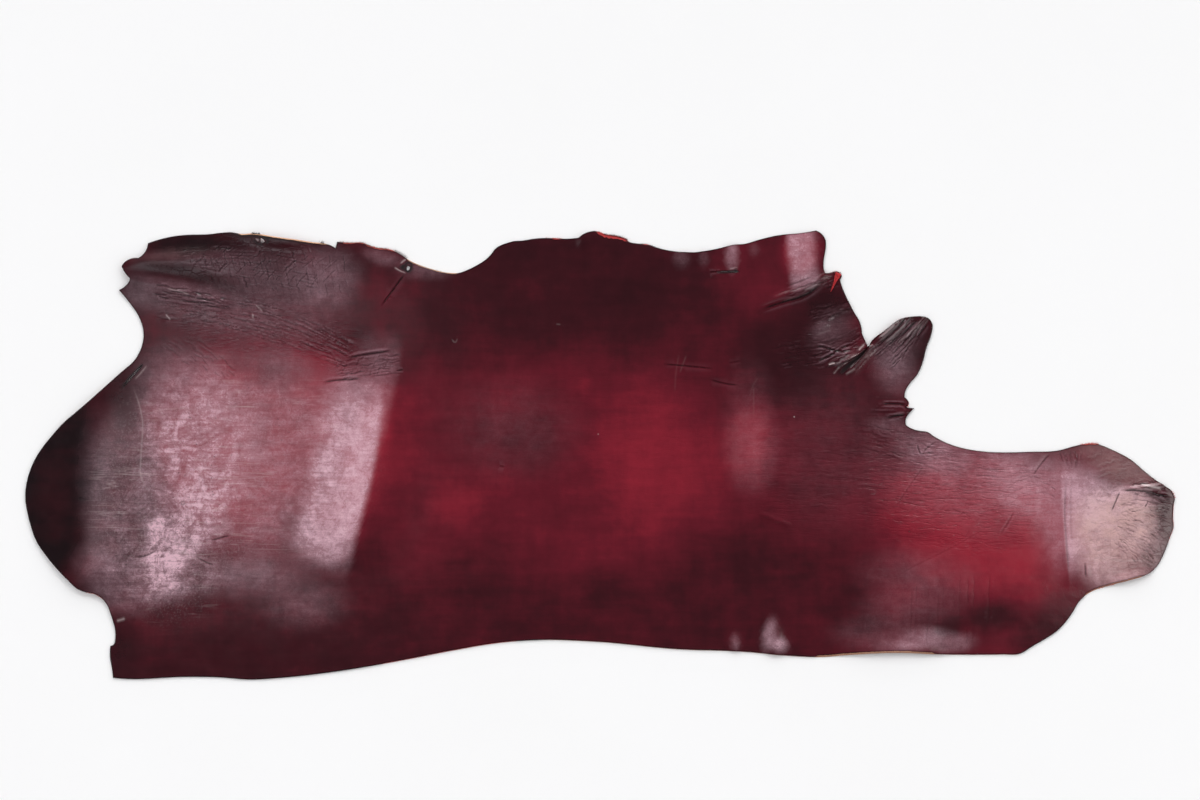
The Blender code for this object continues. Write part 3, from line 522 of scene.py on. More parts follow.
# Tufts of torn fibre along the edge: from one end to the other, how many, how long, and the tone,
# one of dark, red and grey
Tuft = namedtuple("Tuft", "name x0 y0 x1 y1 count length tone")
TUFTS = table(Tuft, (
    ("thigh fuzz", -741, 486, -765, 488, 90, 5.0, "dark"),
    ("thigh spike", -604, 464, -616, 466, 36, 7.5, "dark"),
    ("stifle dark", -460, 450, -575, 469, 150, 4.0, "dark"),
    ("stifle red", -450, 447, -572, 469, 110, 4.0, "red"),
    ("stifle grey", -420, 430, -452, 449, 170, 7.0, "grey"),
    ("groin grey", -330, 402, -420, 428, 50, 3.0, "grey"),
    ("flank dark", 60, 469, 8, 486, 190, 5.0, "dark"),
    ("flank red", 62, 468, -5, 489, 150, 3.6, "red"),
    ("flank fleck", -80, 477, -122, 477, 80, 3.2, "red"),
    ("flank strand", 150, 452, 88, 464, 60, 3.0, "dark"),
    ("forehead red", 1100, 24, 1056, 22, 90, 4.5, "red"),
    ("muzzle red", 1262, -100, 1256, -78, 40, 4.0, "red"),
    ("tail root red", -1134, -300, -1096, -314, 40, 3.0, "red"),
    ("shoulder red", 674, 112, 670, 100, 30, 3.4, "red"),
    ("cheek red", 1092, -298, 1130, -284, 40, 2.6, "red"),
    ("tag root red", 532, 394, 505, 400, 50, 3.4, "red"),
))
FIBRE_RADIUS = 0.28
FIBRE_STEPS = 4
FIBRE_SIDES = 3
# How much of its radius a fibre loses towards its tip
FIBRE_TAPER = 0.8
# How fibres differ: the share of the length that a fibre bends and lifts by, its length, how deep
# and how high in the edge it starts, and how far it points aside
FIBRE_BEND = (-0.7, 0.7)
FIBRE_LIFT = (-0.05, 0.35)
FIBRE_LENGTH = (0.35, 1.0)
ROOT_DEPTH = (0.4, 1.2)
ROOT_HEIGHT = (0.35, 0.85)
FIBRE_SPLAY = (-0.6, 0.6)


def smooth_run(points, step):
    """Points at most step apart on one smooth line through the given ones, both ends included."""
    knots = np.array(points, dtype=float)
    gaps = np.linalg.norm(np.diff(knots, axis=0), axis=1)
    along = np.concatenate([[0.0], np.cumsum(gaps)])
    order = 2 if len(knots) > 2 else 1
    slopes = np.gradient(knots, along, axis=0, edge_order=order)
    run = [knots[0]]
    for i, gap in enumerate(gaps):
        for t in np.linspace(0.0, 1.0, math.ceil(gap / step) + 1)[1:]:
            run.append(
                (2 * t**3 - 3 * t**2 + 1) * knots[i]
                + (t**3 - 2 * t**2 + t) * gap * slopes[i]
                + (3 * t**2 - 2 * t**3) * knots[i + 1]
                + (t**3 - t**2) * gap * slopes[i + 1]
            )
    return np.array(run)


def smooth_step(value):
    """The value held between 0 and 1, with both ends eased."""
    value = np.clip(value, 0, 1)
    return value * value * (3 - 2 * value)


def directions(path):
    """The unit direction of a path at each of its points."""
    ahead = np.gradient(path, axis=0)
    return ahead / np.linalg.norm(ahead, axis=1, keepdims=True)


def left_side(ahead):
    """The direction on the left of each direction."""
    return np.stack([-ahead[:, 1], ahead[:, 0]], axis=1)


def cross(one, other):
    """Each pair's cross product, above zero where the other vector is on the left of the one."""
    return one[:, 0] * other[:, 1] - one[:, 1] * other[:, 0]


# The outline and the openings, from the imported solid

# Points of the solid are one within this distance, in metres
SAME_PLACE = 1e-6
# The highest that the normal of a level face of the underside points
FACING_DOWN = -0.999
# The underside ends at an edge this sharp, and a loop has a corner where it turns this far
SHARP = math.radians(60)
CORNER = math.radians(32)
# A loop's points that lie closer than this to the one before are left out
LEAST_GAP = 0.2
# How far apart a border's points lie, and the steps that a small loop has along each side of a
# square of its area
BORDER_STEP = 4.0
SMALL_LOOP_STEPS = 6


def signed_area(loop):
    """The loop's area, below zero where it runs clockwise."""
    return 0.5 * cross(loop, np.roll(loop, -1, axis=0)).sum()


def underside_loops(node):
    """The closed loops round the solid's underside, in millimetres, the outline first."""
    solid = bmesh.new()
    solid.from_mesh(node.data)
    bmesh.ops.remove_doubles(solid, verts=solid.verts, dist=SAME_PLACE)
    level = [face for face in solid.faces if face.normal.z < FACING_DOWN]
    seed = max(level, key=lambda face: face.calc_area())
    under = {seed}
    waiting = [seed]
    while waiting:
        for edge in waiting.pop().edges:
            if edge.calc_face_angle(0.0) < SHARP:
                fresh = set(edge.link_faces) - under
                under |= fresh
                waiting.extend(fresh)
    # In the solid's own order, so that each loop starts at the same point in every run
    ahead = {}
    for face in [face for face in solid.faces if face in under]:
        for loop in face.loops:
            if not set(loop.edge.link_faces) <= under:
                ahead[loop.vert] = loop.link_loop_next.vert
    loops = []
    while ahead:
        vert, following = ahead.popitem()
        ring = [vert]
        while following is not ring[0]:
            ring.append(following)
            following = ahead.pop(following)
        points = np.array([(v.co.x / UNIT, v.co.y / UNIT) for v in ring])
        gaps = np.linalg.norm(points - np.roll(points, 1, axis=0), axis=1)
        loops.append(points[gaps > LEAST_GAP])
    solid.free()
    loops.sort(key=lambda loop: abs(signed_area(loop)), reverse=True)
    turned = [(signed_area(loop) > 0) == (i == 0) for i, loop in enumerate(loops)]
    return [loop if right else loop[::-1] for loop, right in zip(loops, turned)]


# Openings that the photo shows nearly shut: each with the share of its width that stays open
Opening = namedtuple("Opening", "name x y open_share")
OPENINGS = table(Opening, (
    ("rump slit", -1025, 174, 0.45),
    ("belly slit", 284, 403, 0.22),
))
# How far from its place in the table an opening's middle can lie
OPENING_REACH = 30


def drawn_together(loop):
    """The loop of an opening that is nearly shut, narrowed across its length."""
    middle = loop.mean(axis=0)
    for opening in OPENINGS:
        if math.dist(middle, (opening.x, opening.y)) < OPENING_REACH:
            away = loop - middle
            across = np.linalg.eigh(away.T @ away)[1][:, 0]
            loop = loop - np.outer(away @ across * (1 - opening.open_share), across)
    return loop


def rounded_loop(loop):
    """The loop with a point every few millimetres, smooth between its corners."""
    before = loop - np.roll(loop, 1, axis=0)
    after = np.roll(loop, -1, axis=0) - loop
    turn = np.arctan2(cross(before, after), (before * after).sum(axis=1))
    corners = np.nonzero(np.abs(turn) > CORNER)[0]
    if len(corners) < 2:
        corners = np.array([0, len(loop) // 2])
    step = min(BORDER_STEP, np.abs(signed_area(loop)) ** 0.5 / SMALL_LOOP_STEPS)
    made = []
    for first, last in zip(corners, np.roll(corners, -1)):
        span = (last - first) % len(loop)
        stretch = loop[(first + np.arange(span + 1)) % len(loop)]
        made.extend(smooth_run(stretch, step)[:-1])
    return np.array(made)


# The sheet's form

# A fold that reaches further than this is wide: its path has fewer points, and the mesh has no
# rows of points for it
WIDE_FOLD = 60.0
WIDE_PATH_STEP = 4.0
NARROW_PATH_STEP = 1.0
# How far apart the path's points lie for a crease, a band or a mark
LINE_PATH_STEP = 2.0
# How many points are measured against a path at once
CHUNK = 4000


def near_path(points, path, reach):
    """Which points lie near a path, their nearest path points, and the offsets from those."""
    low, high = path.min(axis=0) - reach, path.max(axis=0) + reach
    close = np.nonzero(((points > low) & (points < high)).all(axis=1))[0]
    nearest = np.zeros(len(close), dtype=int)
    for start in range(0, len(close), CHUNK):
        part = points[close[start : start + CHUNK]]
        gaps = ((part[:, None, :] - path[None, :, :]) ** 2).sum(axis=2)
        nearest[start : start + CHUNK] = gaps.argmin(axis=1)
    return close, nearest, points[close] - path[nearest]


def end_fade(share, fades):
    """How much of its height a run keeps at each share of its length, where its ends fade."""
    kept = np.ones(len(share))
    if fades in ("start", "both"):
        kept *= smooth_step(share / FADE_SHARE)
    if fades in ("end", "both"):
        kept *= smooth_step((1 - share) / FADE_SHARE)
    return kept


def side_reach(item, ahead, away):
    """How far a fold or band reaches at each offset, on the left or the right of its run."""
    return np.where(cross(ahead, away) > 0, item.left, item.right)


def fold_path(fold):
    """The fold's path as close points, its direction at each, and how high its crest stands."""
    wide = max(fold.left, fold.right) > WIDE_FOLD
    path = smooth_run(fold.path, WIDE_PATH_STEP if wide else NARROW_PATH_STEP)
    return path, directions(path), end_fade(np.linspace(0.0, 1.0, len(path)), fold.fades)


def fold_lift(fold, points, height, push):
    """Adds the fold's height over each point, and how far it pushes the point sideways."""
    path, ahead, crest = fold_path(fold)
    reach = max(fold.left, fold.right) + fold.crest
    close, nearest, away = near_path(points, path, reach)
    ahead = ahead[nearest]
    width = side_reach(fold, ahead, away)
    distance = np.sqrt((away**2).sum(axis=1) + fold.crest**2) - fold.crest
    fall = crest[nearest] * np.clip(1 - distance / width, 0, 1) ** 2
    height[close] += fold.height * fall
    push[close] -= left_side(ahead) * (fold.lean * fall)[:, None]


def in_ellipse(patch, points):
    """The squared distance from the ellipse's centre, 1 on its rim."""
    turn = math.radians(patch.turn)
    x = points[:, 0] - patch.x
    y = points[:, 1] - patch.y
    u = (x * math.cos(turn) + y * math.sin(turn)) / patch.half_length
    v = (y * math.cos(turn) - x * math.sin(turn)) / patch.half_width
    return u**2 + v**2


def lifted(points):
    """The underside's points in space: flat on the surface, or raised by the folds and swells."""
    height = np.zeros(len(points))
    push = np.zeros_like(points)
    for fold in FOLDS:
        fold_lift(fold, points, height, push)
    for swell in SWELLS:
        height += swell.height * np.clip(1 - in_ellipse(swell, points), 0, 1) ** 2
    return np.column_stack([points + push, height])


def ripples(points):
    """How far the ripples raise or sink the grain side over each point."""
    height = np.zeros(len(points))
    for ripple in RIPPLES:
        places = (points / ripple.length).tolist()
        humps = [noise.noise((x, y, ripple.length)) for x, y in places]
        height += ripple.height * np.array(humps)
    return height


# How many points a family's line has. A piece of it with only LEAST_PIECE of them is left out.
LINE_POINTS = 60
LEAST_PIECE = 5
# A wrinkle's lips, as a share of its depth
LIP_SHARE = 0.4


def even_run(path):
    """A smooth path as an even number of points."""
    run = smooth_run(path, BORDER_STEP)
    share = np.linspace(0, 1, len(run))
    even = np.linspace(0, 1, LINE_POINTS)
    return np.stack([np.interp(even, share, run[:, axis]) for axis in (0, 1)], axis=1)


def family_creases(family, dice):
    """The family's wrinkles, each a crease of its own."""
    first_guide, last_guide = even_run(family.first), even_run(family.last)
    for i in range(family.lines):
        share = (i + 0.5 + dice.uniform(*LINE_STRAY)) / family.lines
        line = first_guide * (1 - share) + last_guide * share
        side = left_side(directions(line))
        turns = WAVES_A_LINE * math.tau * dice.uniform(*WAVE_COUNT)
        sway = np.sin(np.linspace(0, turns, LINE_POINTS) + dice.uniform(0, math.tau))
        line = line + side * (family.wave * sway * dice.uniform(*WAVE_SIZE))[:, None]
        start = dice.uniform(*FIRST_START)
        while start < 1:
            end = start + family.share * dice.uniform(*PIECE_LENGTH)
            first, last = (round(LINE_POINTS * min(max(value, 0), 1)) for value in (start, end))
            depth = family.depth * dice.uniform(*PIECE_DEPTH)
            width = family.width * dice.uniform(*PIECE_WIDTH)
            if last - first > LEAST_PIECE:
                yield Crease(family.name, depth, width, depth * LIP_SHARE, line[first:last])
            start = end + dice.uniform(*PIECE_GAP)


def all_creases():
    """The listed creases, and every family's wrinkles."""
    dice = random.Random(SEED)
    wrinkles = [crease for family in FAMILIES for crease in family_creases(family, dice)]
    return [*CREASES, *wrinkles]


# In half widths of a crease: how far it is felt, and where its lips stand and how wide they are
CREASE_REACH = 4.5
LIP_PLACE = 2.3
LIP_WIDTH = 1.1
# The furthest that crossing creases may sink or raise the grain side together
RELIEF_LIMITS = (-1.5, 1.2)
# In widths of a mark: how far it is felt; and the least that is left of it at its ends
MARK_REACH = 3
MARK_END = 0.15


def end_taper(nearest, path, least=0.0):
    """How strong a line is beside each of its nearest points, dying out towards its ends."""
    share = nearest / (len(path) - 1)
    return smooth_step(np.minimum(share, 1 - share) / END_TAPER + least)


def trough(crease, points, relief):
    """Adds a crease's trough and its raised lips to the relief."""
    path = smooth_run(crease.path, LINE_PATH_STEP)
    close, nearest, away = near_path(points, path, crease.width * CREASE_REACH)
    ahead = directions(path)[nearest]
    across = np.abs(cross(ahead, away))
    past_end = np.abs((ahead * away).sum(axis=1)) > LINE_PATH_STEP
    taper = end_taper(nearest, path)
    taper[past_end] = 0
    hollow = np.exp(-((across / crease.width) ** 2))
    lips = np.exp(-(((across - LIP_PLACE * crease.width) / (LIP_WIDTH * crease.width)) ** 2))
    relief[close] += taper * (crease.lip * lips - crease.depth * hollow)


def creased(points):
    """How far the creases and wrinkles sink or raise the grain side over each point."""
    relief = np.zeros(len(points))
    for crease in all_creases():
        trough(crease, points, relief)
    return np.clip(relief, *RELIEF_LIMITS)


def patched(points, patches, base=0.0):
    """A value over the sheet: the base, pulled towards each patch's level in turn."""
    value = np.full(len(points), base)
    for patch in patches:
        depth = (1 - np.sqrt(in_ellipse(patch, points))) / patch.edge
        value += (patch.level - value) * patch.strength * smooth_step(depth)
    return value


# The share of a band's width over which it fades
BAND_EDGE = 0.62


def banded(points, value, bands):
    """A value over the sheet, raised to each band's level along its path."""
    for band in bands:
        path = smooth_run(band.path, LINE_PATH_STEP)
        close, nearest, away = near_path(points, path, max(band.left, band.right))
        width = side_reach(band, directions(path)[nearest], away)
        distance = np.sqrt((away**2).sum(axis=1)) / width
        weight = smooth_step((1 - distance) / BAND_EDGE)
        weight *= end_fade(nearest / (len(path) - 1), band.fades)
        value[close] += np.maximum(band.level - value[close], 0) * weight
    return value


def marked(points):
    """The tone of the thin marks and spots over each point, painted glints and shade among them."""
    tone = np.zeros(len(points))
    for mark in MARKS:
        path = smooth_run(mark.path, LINE_PATH_STEP)
        close, nearest, away = near_path(points, path, mark.width * MARK_REACH)
        fall = np.exp(-((away**2).sum(axis=1) / mark.width**2))
        tone[close] += mark.tone * end_taper(nearest, path, MARK_END) * fall
    for spot in SPOTS:
        away = ((points - (spot.x, spot.y)) ** 2).sum(axis=1)
        weight = np.exp(-((away / spot.radius**2) ** 2))
        tone += (spot.tone - tone) * weight
    return np.clip(tone, -1, 1)


# Meshing

# The triangulation keeps what lies inside the borders and merges points that lie this close
KEEP_INSIDE = 1
MERGE_DISTANCE = 1e-4
# How clear of earlier points a new one lies: shares of the step of a lattice and of the shoulder
CLEARANCE = 0.55
SHOULDER_CLEARANCE = 0.7
# How far apart the points of rows lie, and how far from the borders
ROW_GAP = 1.6
ROW_CLEARANCE = 1.3
# Where the rows beside a line run, in its half widths, and down a fold's flanks
ROW_OFFSETS = (-2.4, -1.1, 0.0, 1.1, 2.4)
WRINKLE_OFFSETS = (-1.3, 0.0, 1.3)
FLANK_SHARE = 0.4
# The rings of points in and round a spot, in its radii
SPOT_RINGS = (0.01, 0.9, 1.6)
SPOT_POINTS = 8


def inside(points, loop):
    """Which points lie inside a closed loop."""
    within = np.zeros(len(points), dtype=bool)
    x, y = points[:, 0], points[:, 1]
    for (ax, ay), (bx, by) in zip(loop, np.roll(loop, -1, axis=0)):
        if ay != by:
            crosses = (ay > y) != (by > y)
            within ^= crosses & (x < ax + (y - ay) * (bx - ax) / (by - ay))
    return within


def within_sheet(points, loops):
    """The points that lie inside the outline and outside the openings."""
    points = points[inside(points, loops[0])]
    for loop in loops[1:]:
        points = points[~inside(points, loop)]
    return points


def lattice(low, high, step):
    """An even lattice of equal triangles over a box."""
    row_step = step * math.sin(math.pi / 3)
    rows = math.ceil((high[1] - low[1]) / row_step)
    columns = math.ceil((high[0] - low[0]) / step)
    row, column = np.mgrid[0 : rows + 1, 0 : columns + 1]
    x = low[0] + (column + 0.5 * (row % 2)) * step
    y = low[1] + row * row_step
    return np.column_stack([x.ravel(), y.ravel()])


def outside_zones(points, zones):
    """The points that lie in none of the zones."""
    for zone in zones:
        points = points[in_ellipse(zone, points) >= 1]
    return points


def graded_lattices(loop):
    """Lattice points over the loop's box, zone by zone, each with the distance between them."""
    for i, zone in enumerate(ZONES):
        reach = max(zone.half_length, zone.half_width)
        centre = np.array((zone.x, zone.y))
        points = lattice(centre - reach, centre + reach, zone.step)
        points = points[in_ellipse(zone, points) < 1]
        yield outside_zones(points, ZONES[:i]), zone.step
    points = lattice(loop.min(axis=0), loop.max(axis=0), BASE_STEP)
    yield outside_zones(points, ZONES), BASE_STEP


def offset_rows(path, offsets):
    """The path's points again, shifted sideways by each offset."""
    side = left_side(directions(path))
    return [path + side * offset for offset in offsets]


def mark_rows():
    """Points along the creases and marks, so that the mesh holds each sharply."""
    rows = []
    for spot in SPOTS:
        for share in SPOT_RINGS:
            angles = np.linspace(0, math.tau, SPOT_POINTS, endpoint=False)
            ring = np.column_stack([np.cos(angles), np.sin(angles)]) * spot.radius * share
            rows.append(ring + (spot.x, spot.y))
    for item in (*CREASES, *MARKS):
        path = smooth_run(item.path, BORDER_STEP)
        rows += offset_rows(path, [share * item.width for share in ROW_OFFSETS])
    for wrinkle in all_creases()[len(CREASES) :]:
        rows += offset_rows(wrinkle.path, [share * wrinkle.width for share in WRINKLE_OFFSETS])
    return np.concatenate(rows)


def fold_rows():
    """Points along the narrow folds, on their crests and flanks."""
    rows = []
    for fold in FOLDS:
        if max(fold.left, fold.right) < WIDE_FOLD:
            path = smooth_run(fold.path, BORDER_STEP)
            upper = (-fold.right * FLANK_SHARE, 0, fold.left * FLANK_SHARE)
            rows += offset_rows(path, (-fold.right, *upper, fold.left))
    return np.concatenate(rows)


def thinned(points, gap):
    """The points with those dropped that share a small square with an earlier one."""
    taken = {}
    for x, y in points.tolist():
        taken.setdefault((round(x / gap), round(y / gap)), (x, y))
    return np.array(list(taken.values()))


def distances(points, kept):
    """How far each point lies from the nearest of the kept ones."""
    tree = KDTree(len(kept))
    for i, (x, y) in enumerate(kept.tolist()):
        tree.insert((x, y, 0.0), i)
    tree.balance()
    return np.array([tree.find((x, y, 0.0))[2] for x, y in points.tolist()])


def clear_of(candidates, kept, clearance):
    """The candidates that lie further than clearance from every kept point."""
    return candidates[distances(candidates, kept) > clearance]


def rim_shade(points, border):
    """How dark the rim makes each point: most on the border, none at its width, and less than none
    past it, so that a crease's pale lips show there."""
    return np.clip(1 - distances(points, border) / RIM, -1, 1) * RIM_DARKNESS


def triangulated(points, loops):
    """A sheet's plan from points that start with its loops, its triangles, and its border ids."""
    borders = []
    start = 0
    for loop in loops:
        ids = list(range(start, start + len(loop)))
        borders += list(zip(ids, ids[1:] + ids[:1]))
        start += len(loop)
    vectors = [Vector(point) for point in points.tolist()]
    found = delaunay_2d_cdt(vectors, borders, [], KEEP_INSIDE, MERGE_DISTANCE)
    plan = np.array([tuple(point) for point in found[0]])
    faces = np.array([face[:] for face in found[2]])
    place_of = {source: i for i, sources in enumerate(found[3]) for source in sources}
    centres = plan[faces].mean(axis=1)
    solid = inside(centres, loops[0])
    for loop in loops[1:]:
        solid &= ~inside(centres, loop)
    return plan, faces[solid], np.array([place_of[i] for i in range(start)])


# The cut edge. Its face goes down in rings from the grain side's border to the underside's.

# Each ring's height, as a share of the thickness, and how far in it lies, as a share of the face
EDGE_RINGS = ((0.78, 0.72), (0.30, 0.10))
# How high the grain side's border lies, as a share of the thickness
GRAIN_BORDER_HEIGHT = 0.93


def stretch_share(loop, stretch):
    """How far each point of a loop belongs to a stretch of it, the shorter way round, 0 to 1."""
    ends = ((stretch.x0, stretch.y0), (stretch.x1, stretch.y1))
    first, last = (((loop - end) ** 2).sum(axis=1).argmin() for end in ends)
    steps = np.linalg.norm(np.roll(loop, -1, axis=0) - loop, axis=1)
    along = np.concatenate([[0.0], np.cumsum(steps)[:-1]])
    if (along[last] - along[first]) % steps.sum() > steps.sum() / 2:
        first, last = last, first
    past_first = (along - along[first]) % steps.sum()
    span = (along[last] - along[first]) % steps.sum()
    nearer_end = np.minimum(past_first, span - past_first)
    return smooth_step(nearer_end / STRETCH_FADE)


def edge_profile(loop, is_outline, dice):
    """For each point of a loop: the width of its slanting face, and how tan and how red it is."""
    width = np.full(len(loop), PLAIN_EDGE)
    tan = np.zeros(len(loop))
    red = np.zeros(len(loop))
    if is_outline:
        for stretch in STRETCHES:
            share = stretch_share(loop, stretch)
            jitter = np.array([dice.uniform(-1, 1) for _ in loop])
            wide = np.maximum(stretch.width + stretch.ragged * jitter, PLAIN_EDGE)
            width += (wide - width) * share
            tan = np.maximum(tan, stretch.tan * share)
            red = np.maximum(red, stretch.red * share)
    return width, tan, red


def inward(loop):
    """The unit direction from each point of a loop into the sheet, on the left of its run."""
    ahead = np.roll(loop, -1, axis=0) - np.roll(loop, 1, axis=0)
    return left_side(ahead / np.linalg.norm(ahead, axis=1, keepdims=True))


def grain_plan(top_loops, shoulders):
    """All the points of the grain side's plan, its borders first, then the rows beside them."""
    kept = np.concatenate(top_loops)
    beside = within_sheet(np.concatenate(shoulders), top_loops)
    kept = np.concatenate([kept, clear_of(beside, kept, SHOULDER * SHOULDER_CLEARANCE)])
    rows = np.concatenate([fold_rows(), mark_rows()])
    rows = thinned(within_sheet(rows, top_loops), ROW_GAP)
    kept = np.concatenate([kept, clear_of(rows, kept, ROW_CLEARANCE)])
    for points, step in graded_lattices(top_loops[0]):
        points = within_sheet(points, top_loops)
        kept = np.concatenate([kept, clear_of(points, kept, step * CLEARANCE)])
    return kept


def underside_plan(loops):
    """All the points of the underside's plan, its borders first."""
    kept = np.concatenate(loops)
    rows = thinned(within_sheet(fold_rows(), loops), ROW_GAP)
    kept = np.concatenate([kept, clear_of(rows, kept, ROW_CLEARANCE)])
    points = lattice(kept.min(axis=0), kept.max(axis=0), UNDERSIDE_STEP)
    points = clear_of(within_sheet(points, loops), kept, UNDERSIDE_STEP * CLEARANCE)
    return np.concatenate([kept, points])


def wall_faces(rings, loops):
    """The triangles that join each ring to the one under it, loop by loop."""
    walls = []
    start = 0
    for loop in loops:
        here = start + np.arange(len(loop))
        after = np.roll(here, -1)
        for upper, lower in zip(rings, rings[1:]):
            walls.append(np.stack([lower[here], lower[after], upper[after]], axis=1))
            walls.append(np.stack([lower[here], upper[after], upper[here]], axis=1))
        start += len(loop)
    return np.concatenate(walls)


GRAIN, CUT, FLESH = range(3)
# How much painted shade a hollow gets, or how much painted highlight a lip gets, for each
# millimetre of its depth or height
CREASE_PAINTED_LIGHT = 1.25
# A layer of the mesh is one side of the sheet or one ring of its edge: its points in plan and in
# space, and the ids of those on its border
Layer = namedtuple("Layer", "plan points border")
Sheet = namedtuple("Sheet", "points plan faces slots crease edge_tan edge_red")


def grain_side(top_loops, beside):
    """The grain side's layer, its triangles, and the painted shade and highlight of its creases,
    with its darker rim.
    """
    plan, faces, border = triangulated(grain_plan(top_loops, beside), top_loops)
    creases = creased(plan)
    relief = ripples(plan) + creases
    relief[border] = -THICKNESS * (1 - GRAIN_BORDER_HEIGHT)
    points = lifted(plan)
    points[:, 2] += THICKNESS + relief
    painted_crease_light = np.clip(-creases * CREASE_PAINTED_LIGHT, -1, 1)
    shade = np.maximum(painted_crease_light, rim_shade(plan, np.concatenate(top_loops)))
    return Layer(plan, points, border), faces, shade


def edge_rings(loops, sides, width):
    """The layers down the cut edge's face."""
    borders, side = np.concatenate(loops), np.concatenate(sides)
    for height, share in EDGE_RINGS:
        plan = borders + side * (width * share)[:, None]
        points = lifted(plan)
        points[:, 2] += THICKNESS * height
        yield Layer(plan, points, np.arange(len(plan)))


def closed_sheet(loops):
    """The sheet's grain side, its cut edge and its flesh side as one closed mesh."""
    dice = random.Random(SEED)
    profiles = [edge_profile(loop, i == 0, dice) for i, loop in enumerate(loops)]
    width, tan, red = (np.concatenate([profile[i] for profile in profiles]) for i in range(3))
    sides = [inward(loop) for loop in loops]
    top_loops = [loop + side * p[0][:, None] for loop, side, p in zip(loops, sides, profiles)]
    beside = []
    for reach in (SHOULDER, RIM):
        beside += [loop + side * reach for loop, side in zip(top_loops, sides)]
    top, top_faces, shade = grain_side(top_loops, beside)
    low_plan, low_faces, low_border = triangulated(underside_plan(loops), loops)
    low = Layer(low_plan, lifted(low_plan), low_border)

    layers = [top, *edge_rings(loops, sides, width), low]
    starts = np.cumsum([0] + [len(layer.plan) for layer in layers[:-1]])
    rings = [layer.border + start for layer, start in zip(layers, starts)]
    groups = (top_faces, wall_faces(rings, loops), (low_faces + starts[-1])[:, ::-1])
    slots = np.repeat((GRAIN, CUT, FLESH), [len(group) for group in groups])
    plan = np.concatenate([layer.plan for layer in layers])
    points = np.concatenate([layer.points for layer in layers])
    crease, edge_tan, edge_red = np.zeros((3, len(points)))
    crease[: len(shade)] = shade
    for ring in rings:
        edge_tan[ring] = tan
        edge_red[ring] = red
    return Sheet(points, plan, np.concatenate(groups), slots, crease, edge_tan, edge_red)


# Shading is smooth over edges that turn less than this
SHARP_EDGE = math.radians(65)


def placed(name, data, place=(0, 0, 0)):
    """A new object in the scene."""
    made = bpy.data.objects.new(name, data)
    made.location = place
    bpy.context.scene.collection.objects.link(made)
    return made


def mesh_object(name, points, faces, slots, materials, values):
    """A piece of the model, from points in millimetres, with named values at each point."""
    mesh = bpy.data.meshes.new(name)
    mesh.from_pydata((points * UNIT).tolist(), [], faces.tolist())
    for material in materials:
        mesh.materials.append(material)
    mesh.polygons.foreach_set("material_index", np.asarray(slots, dtype=np.int32))
    for key, value in values.items():
        layer = mesh.attributes.new(key, "FLOAT", "POINT")
        layer.data.foreach_set("value", np.asarray(value, dtype=np.float32))
    mesh.update()
    mesh.shade_smooth()
    mesh.set_sharp_from_angle(angle=SHARP_EDGE)
    return placed(name, mesh)


# Materials

# Where the patterns start, away from the origin, so that no two of them line up on the sheet
PATTERN_START = (3.173, 1.719, 0.413)

# The noise patterns. A drawn-out one has its squeeze along each axis and its turn in degrees.
Noise = namedtuple("Noise", "scale detail roughness distortion squeeze turn", defaults=(0, None, 0))
NOISES = {
    "clouds": Noise(7, 5, 0.6, 0.3),
    "drifts": Noise(15, 3, 0.5, 0.2),
    "mottle": Noise(42, 4, 0.6),
    "streaks": Noise(22, 3, 0.6, 0, (0.35, 2.2, 1)),
    "uprights": Noise(20, 3, 0.6, 0, (2.0, 0.3, 1), 4),
    "blotches": Noise(70, 8, 0.78, 1.2),
    "strokes": Noise(15, 7, 0.70, 1.6),
    "brushing level": Noise(90, 4, 0.7, 0.4, (0.16, 1.3, 1), 8),
    "brushing steep": Noise(90, 4, 0.7, 0.4, (0.16, 1.3, 1), 62),
    "dust": Noise(330, 3, 0.7),
    "flecks": Noise(210, 3, 0.7),
    "pits": Noise(170, 2, 0.6),
    "scuffs one way": Noise(60, 2, 0.6, 0.8, (0.12, 1.5, 1), -35),
    "scuffs level": Noise(60, 2, 0.6, 0.8, (0.12, 1.5, 1), 12),
    "scuffs other way": Noise(60, 2, 0.6, 0.8, (0.12, 1.5, 1), 68),
    "level wrinkles": Noise(150, 2, 0.55, 0.6, (0.22, 1, 1), 6),
    "grit": Noise(130, 4, 0.7),
    "dents": Noise(36, 3, 0.5),
    "cut fibres": Noise(700, 4, 0.7),
    "nap": Noise(900, 4, 0.7),
    "suede": Noise(16, 3, 0.6),
    "torn fibres": Noise(600, 3, 0.6),
    "floor": Noise(3, 4, 0.5),
}
# The cells of the pores and of the net of wrinkles
PORES = 520
NET = 78
NET_SQUEEZE = (0.7, 1, 1)
NET_TURN = 20

# How deep each relief is, in metres, and how strongly it shows
Relief = namedtuple("Relief", "depth strength")
RELIEFS = {
    "pores": Relief(0.00016, 0.35),
    "level wrinkles": Relief(0.00075, 0.75),
    "net wrinkles": Relief(0.0006, 0.35),
    "grit": Relief(0.0012, 0.45),
    "dents": Relief(0.0011, 0.25),
    "cut fibres": Relief(0.0006, 0.8),
    "nap": Relief(0.0008, 0.7),
}


# How strongly a surface mirrors the light, and the middle of a noise pattern's values
GLOSSY = 0.5
MATT = 0.2
NOISE_MIDDLE = 0.5


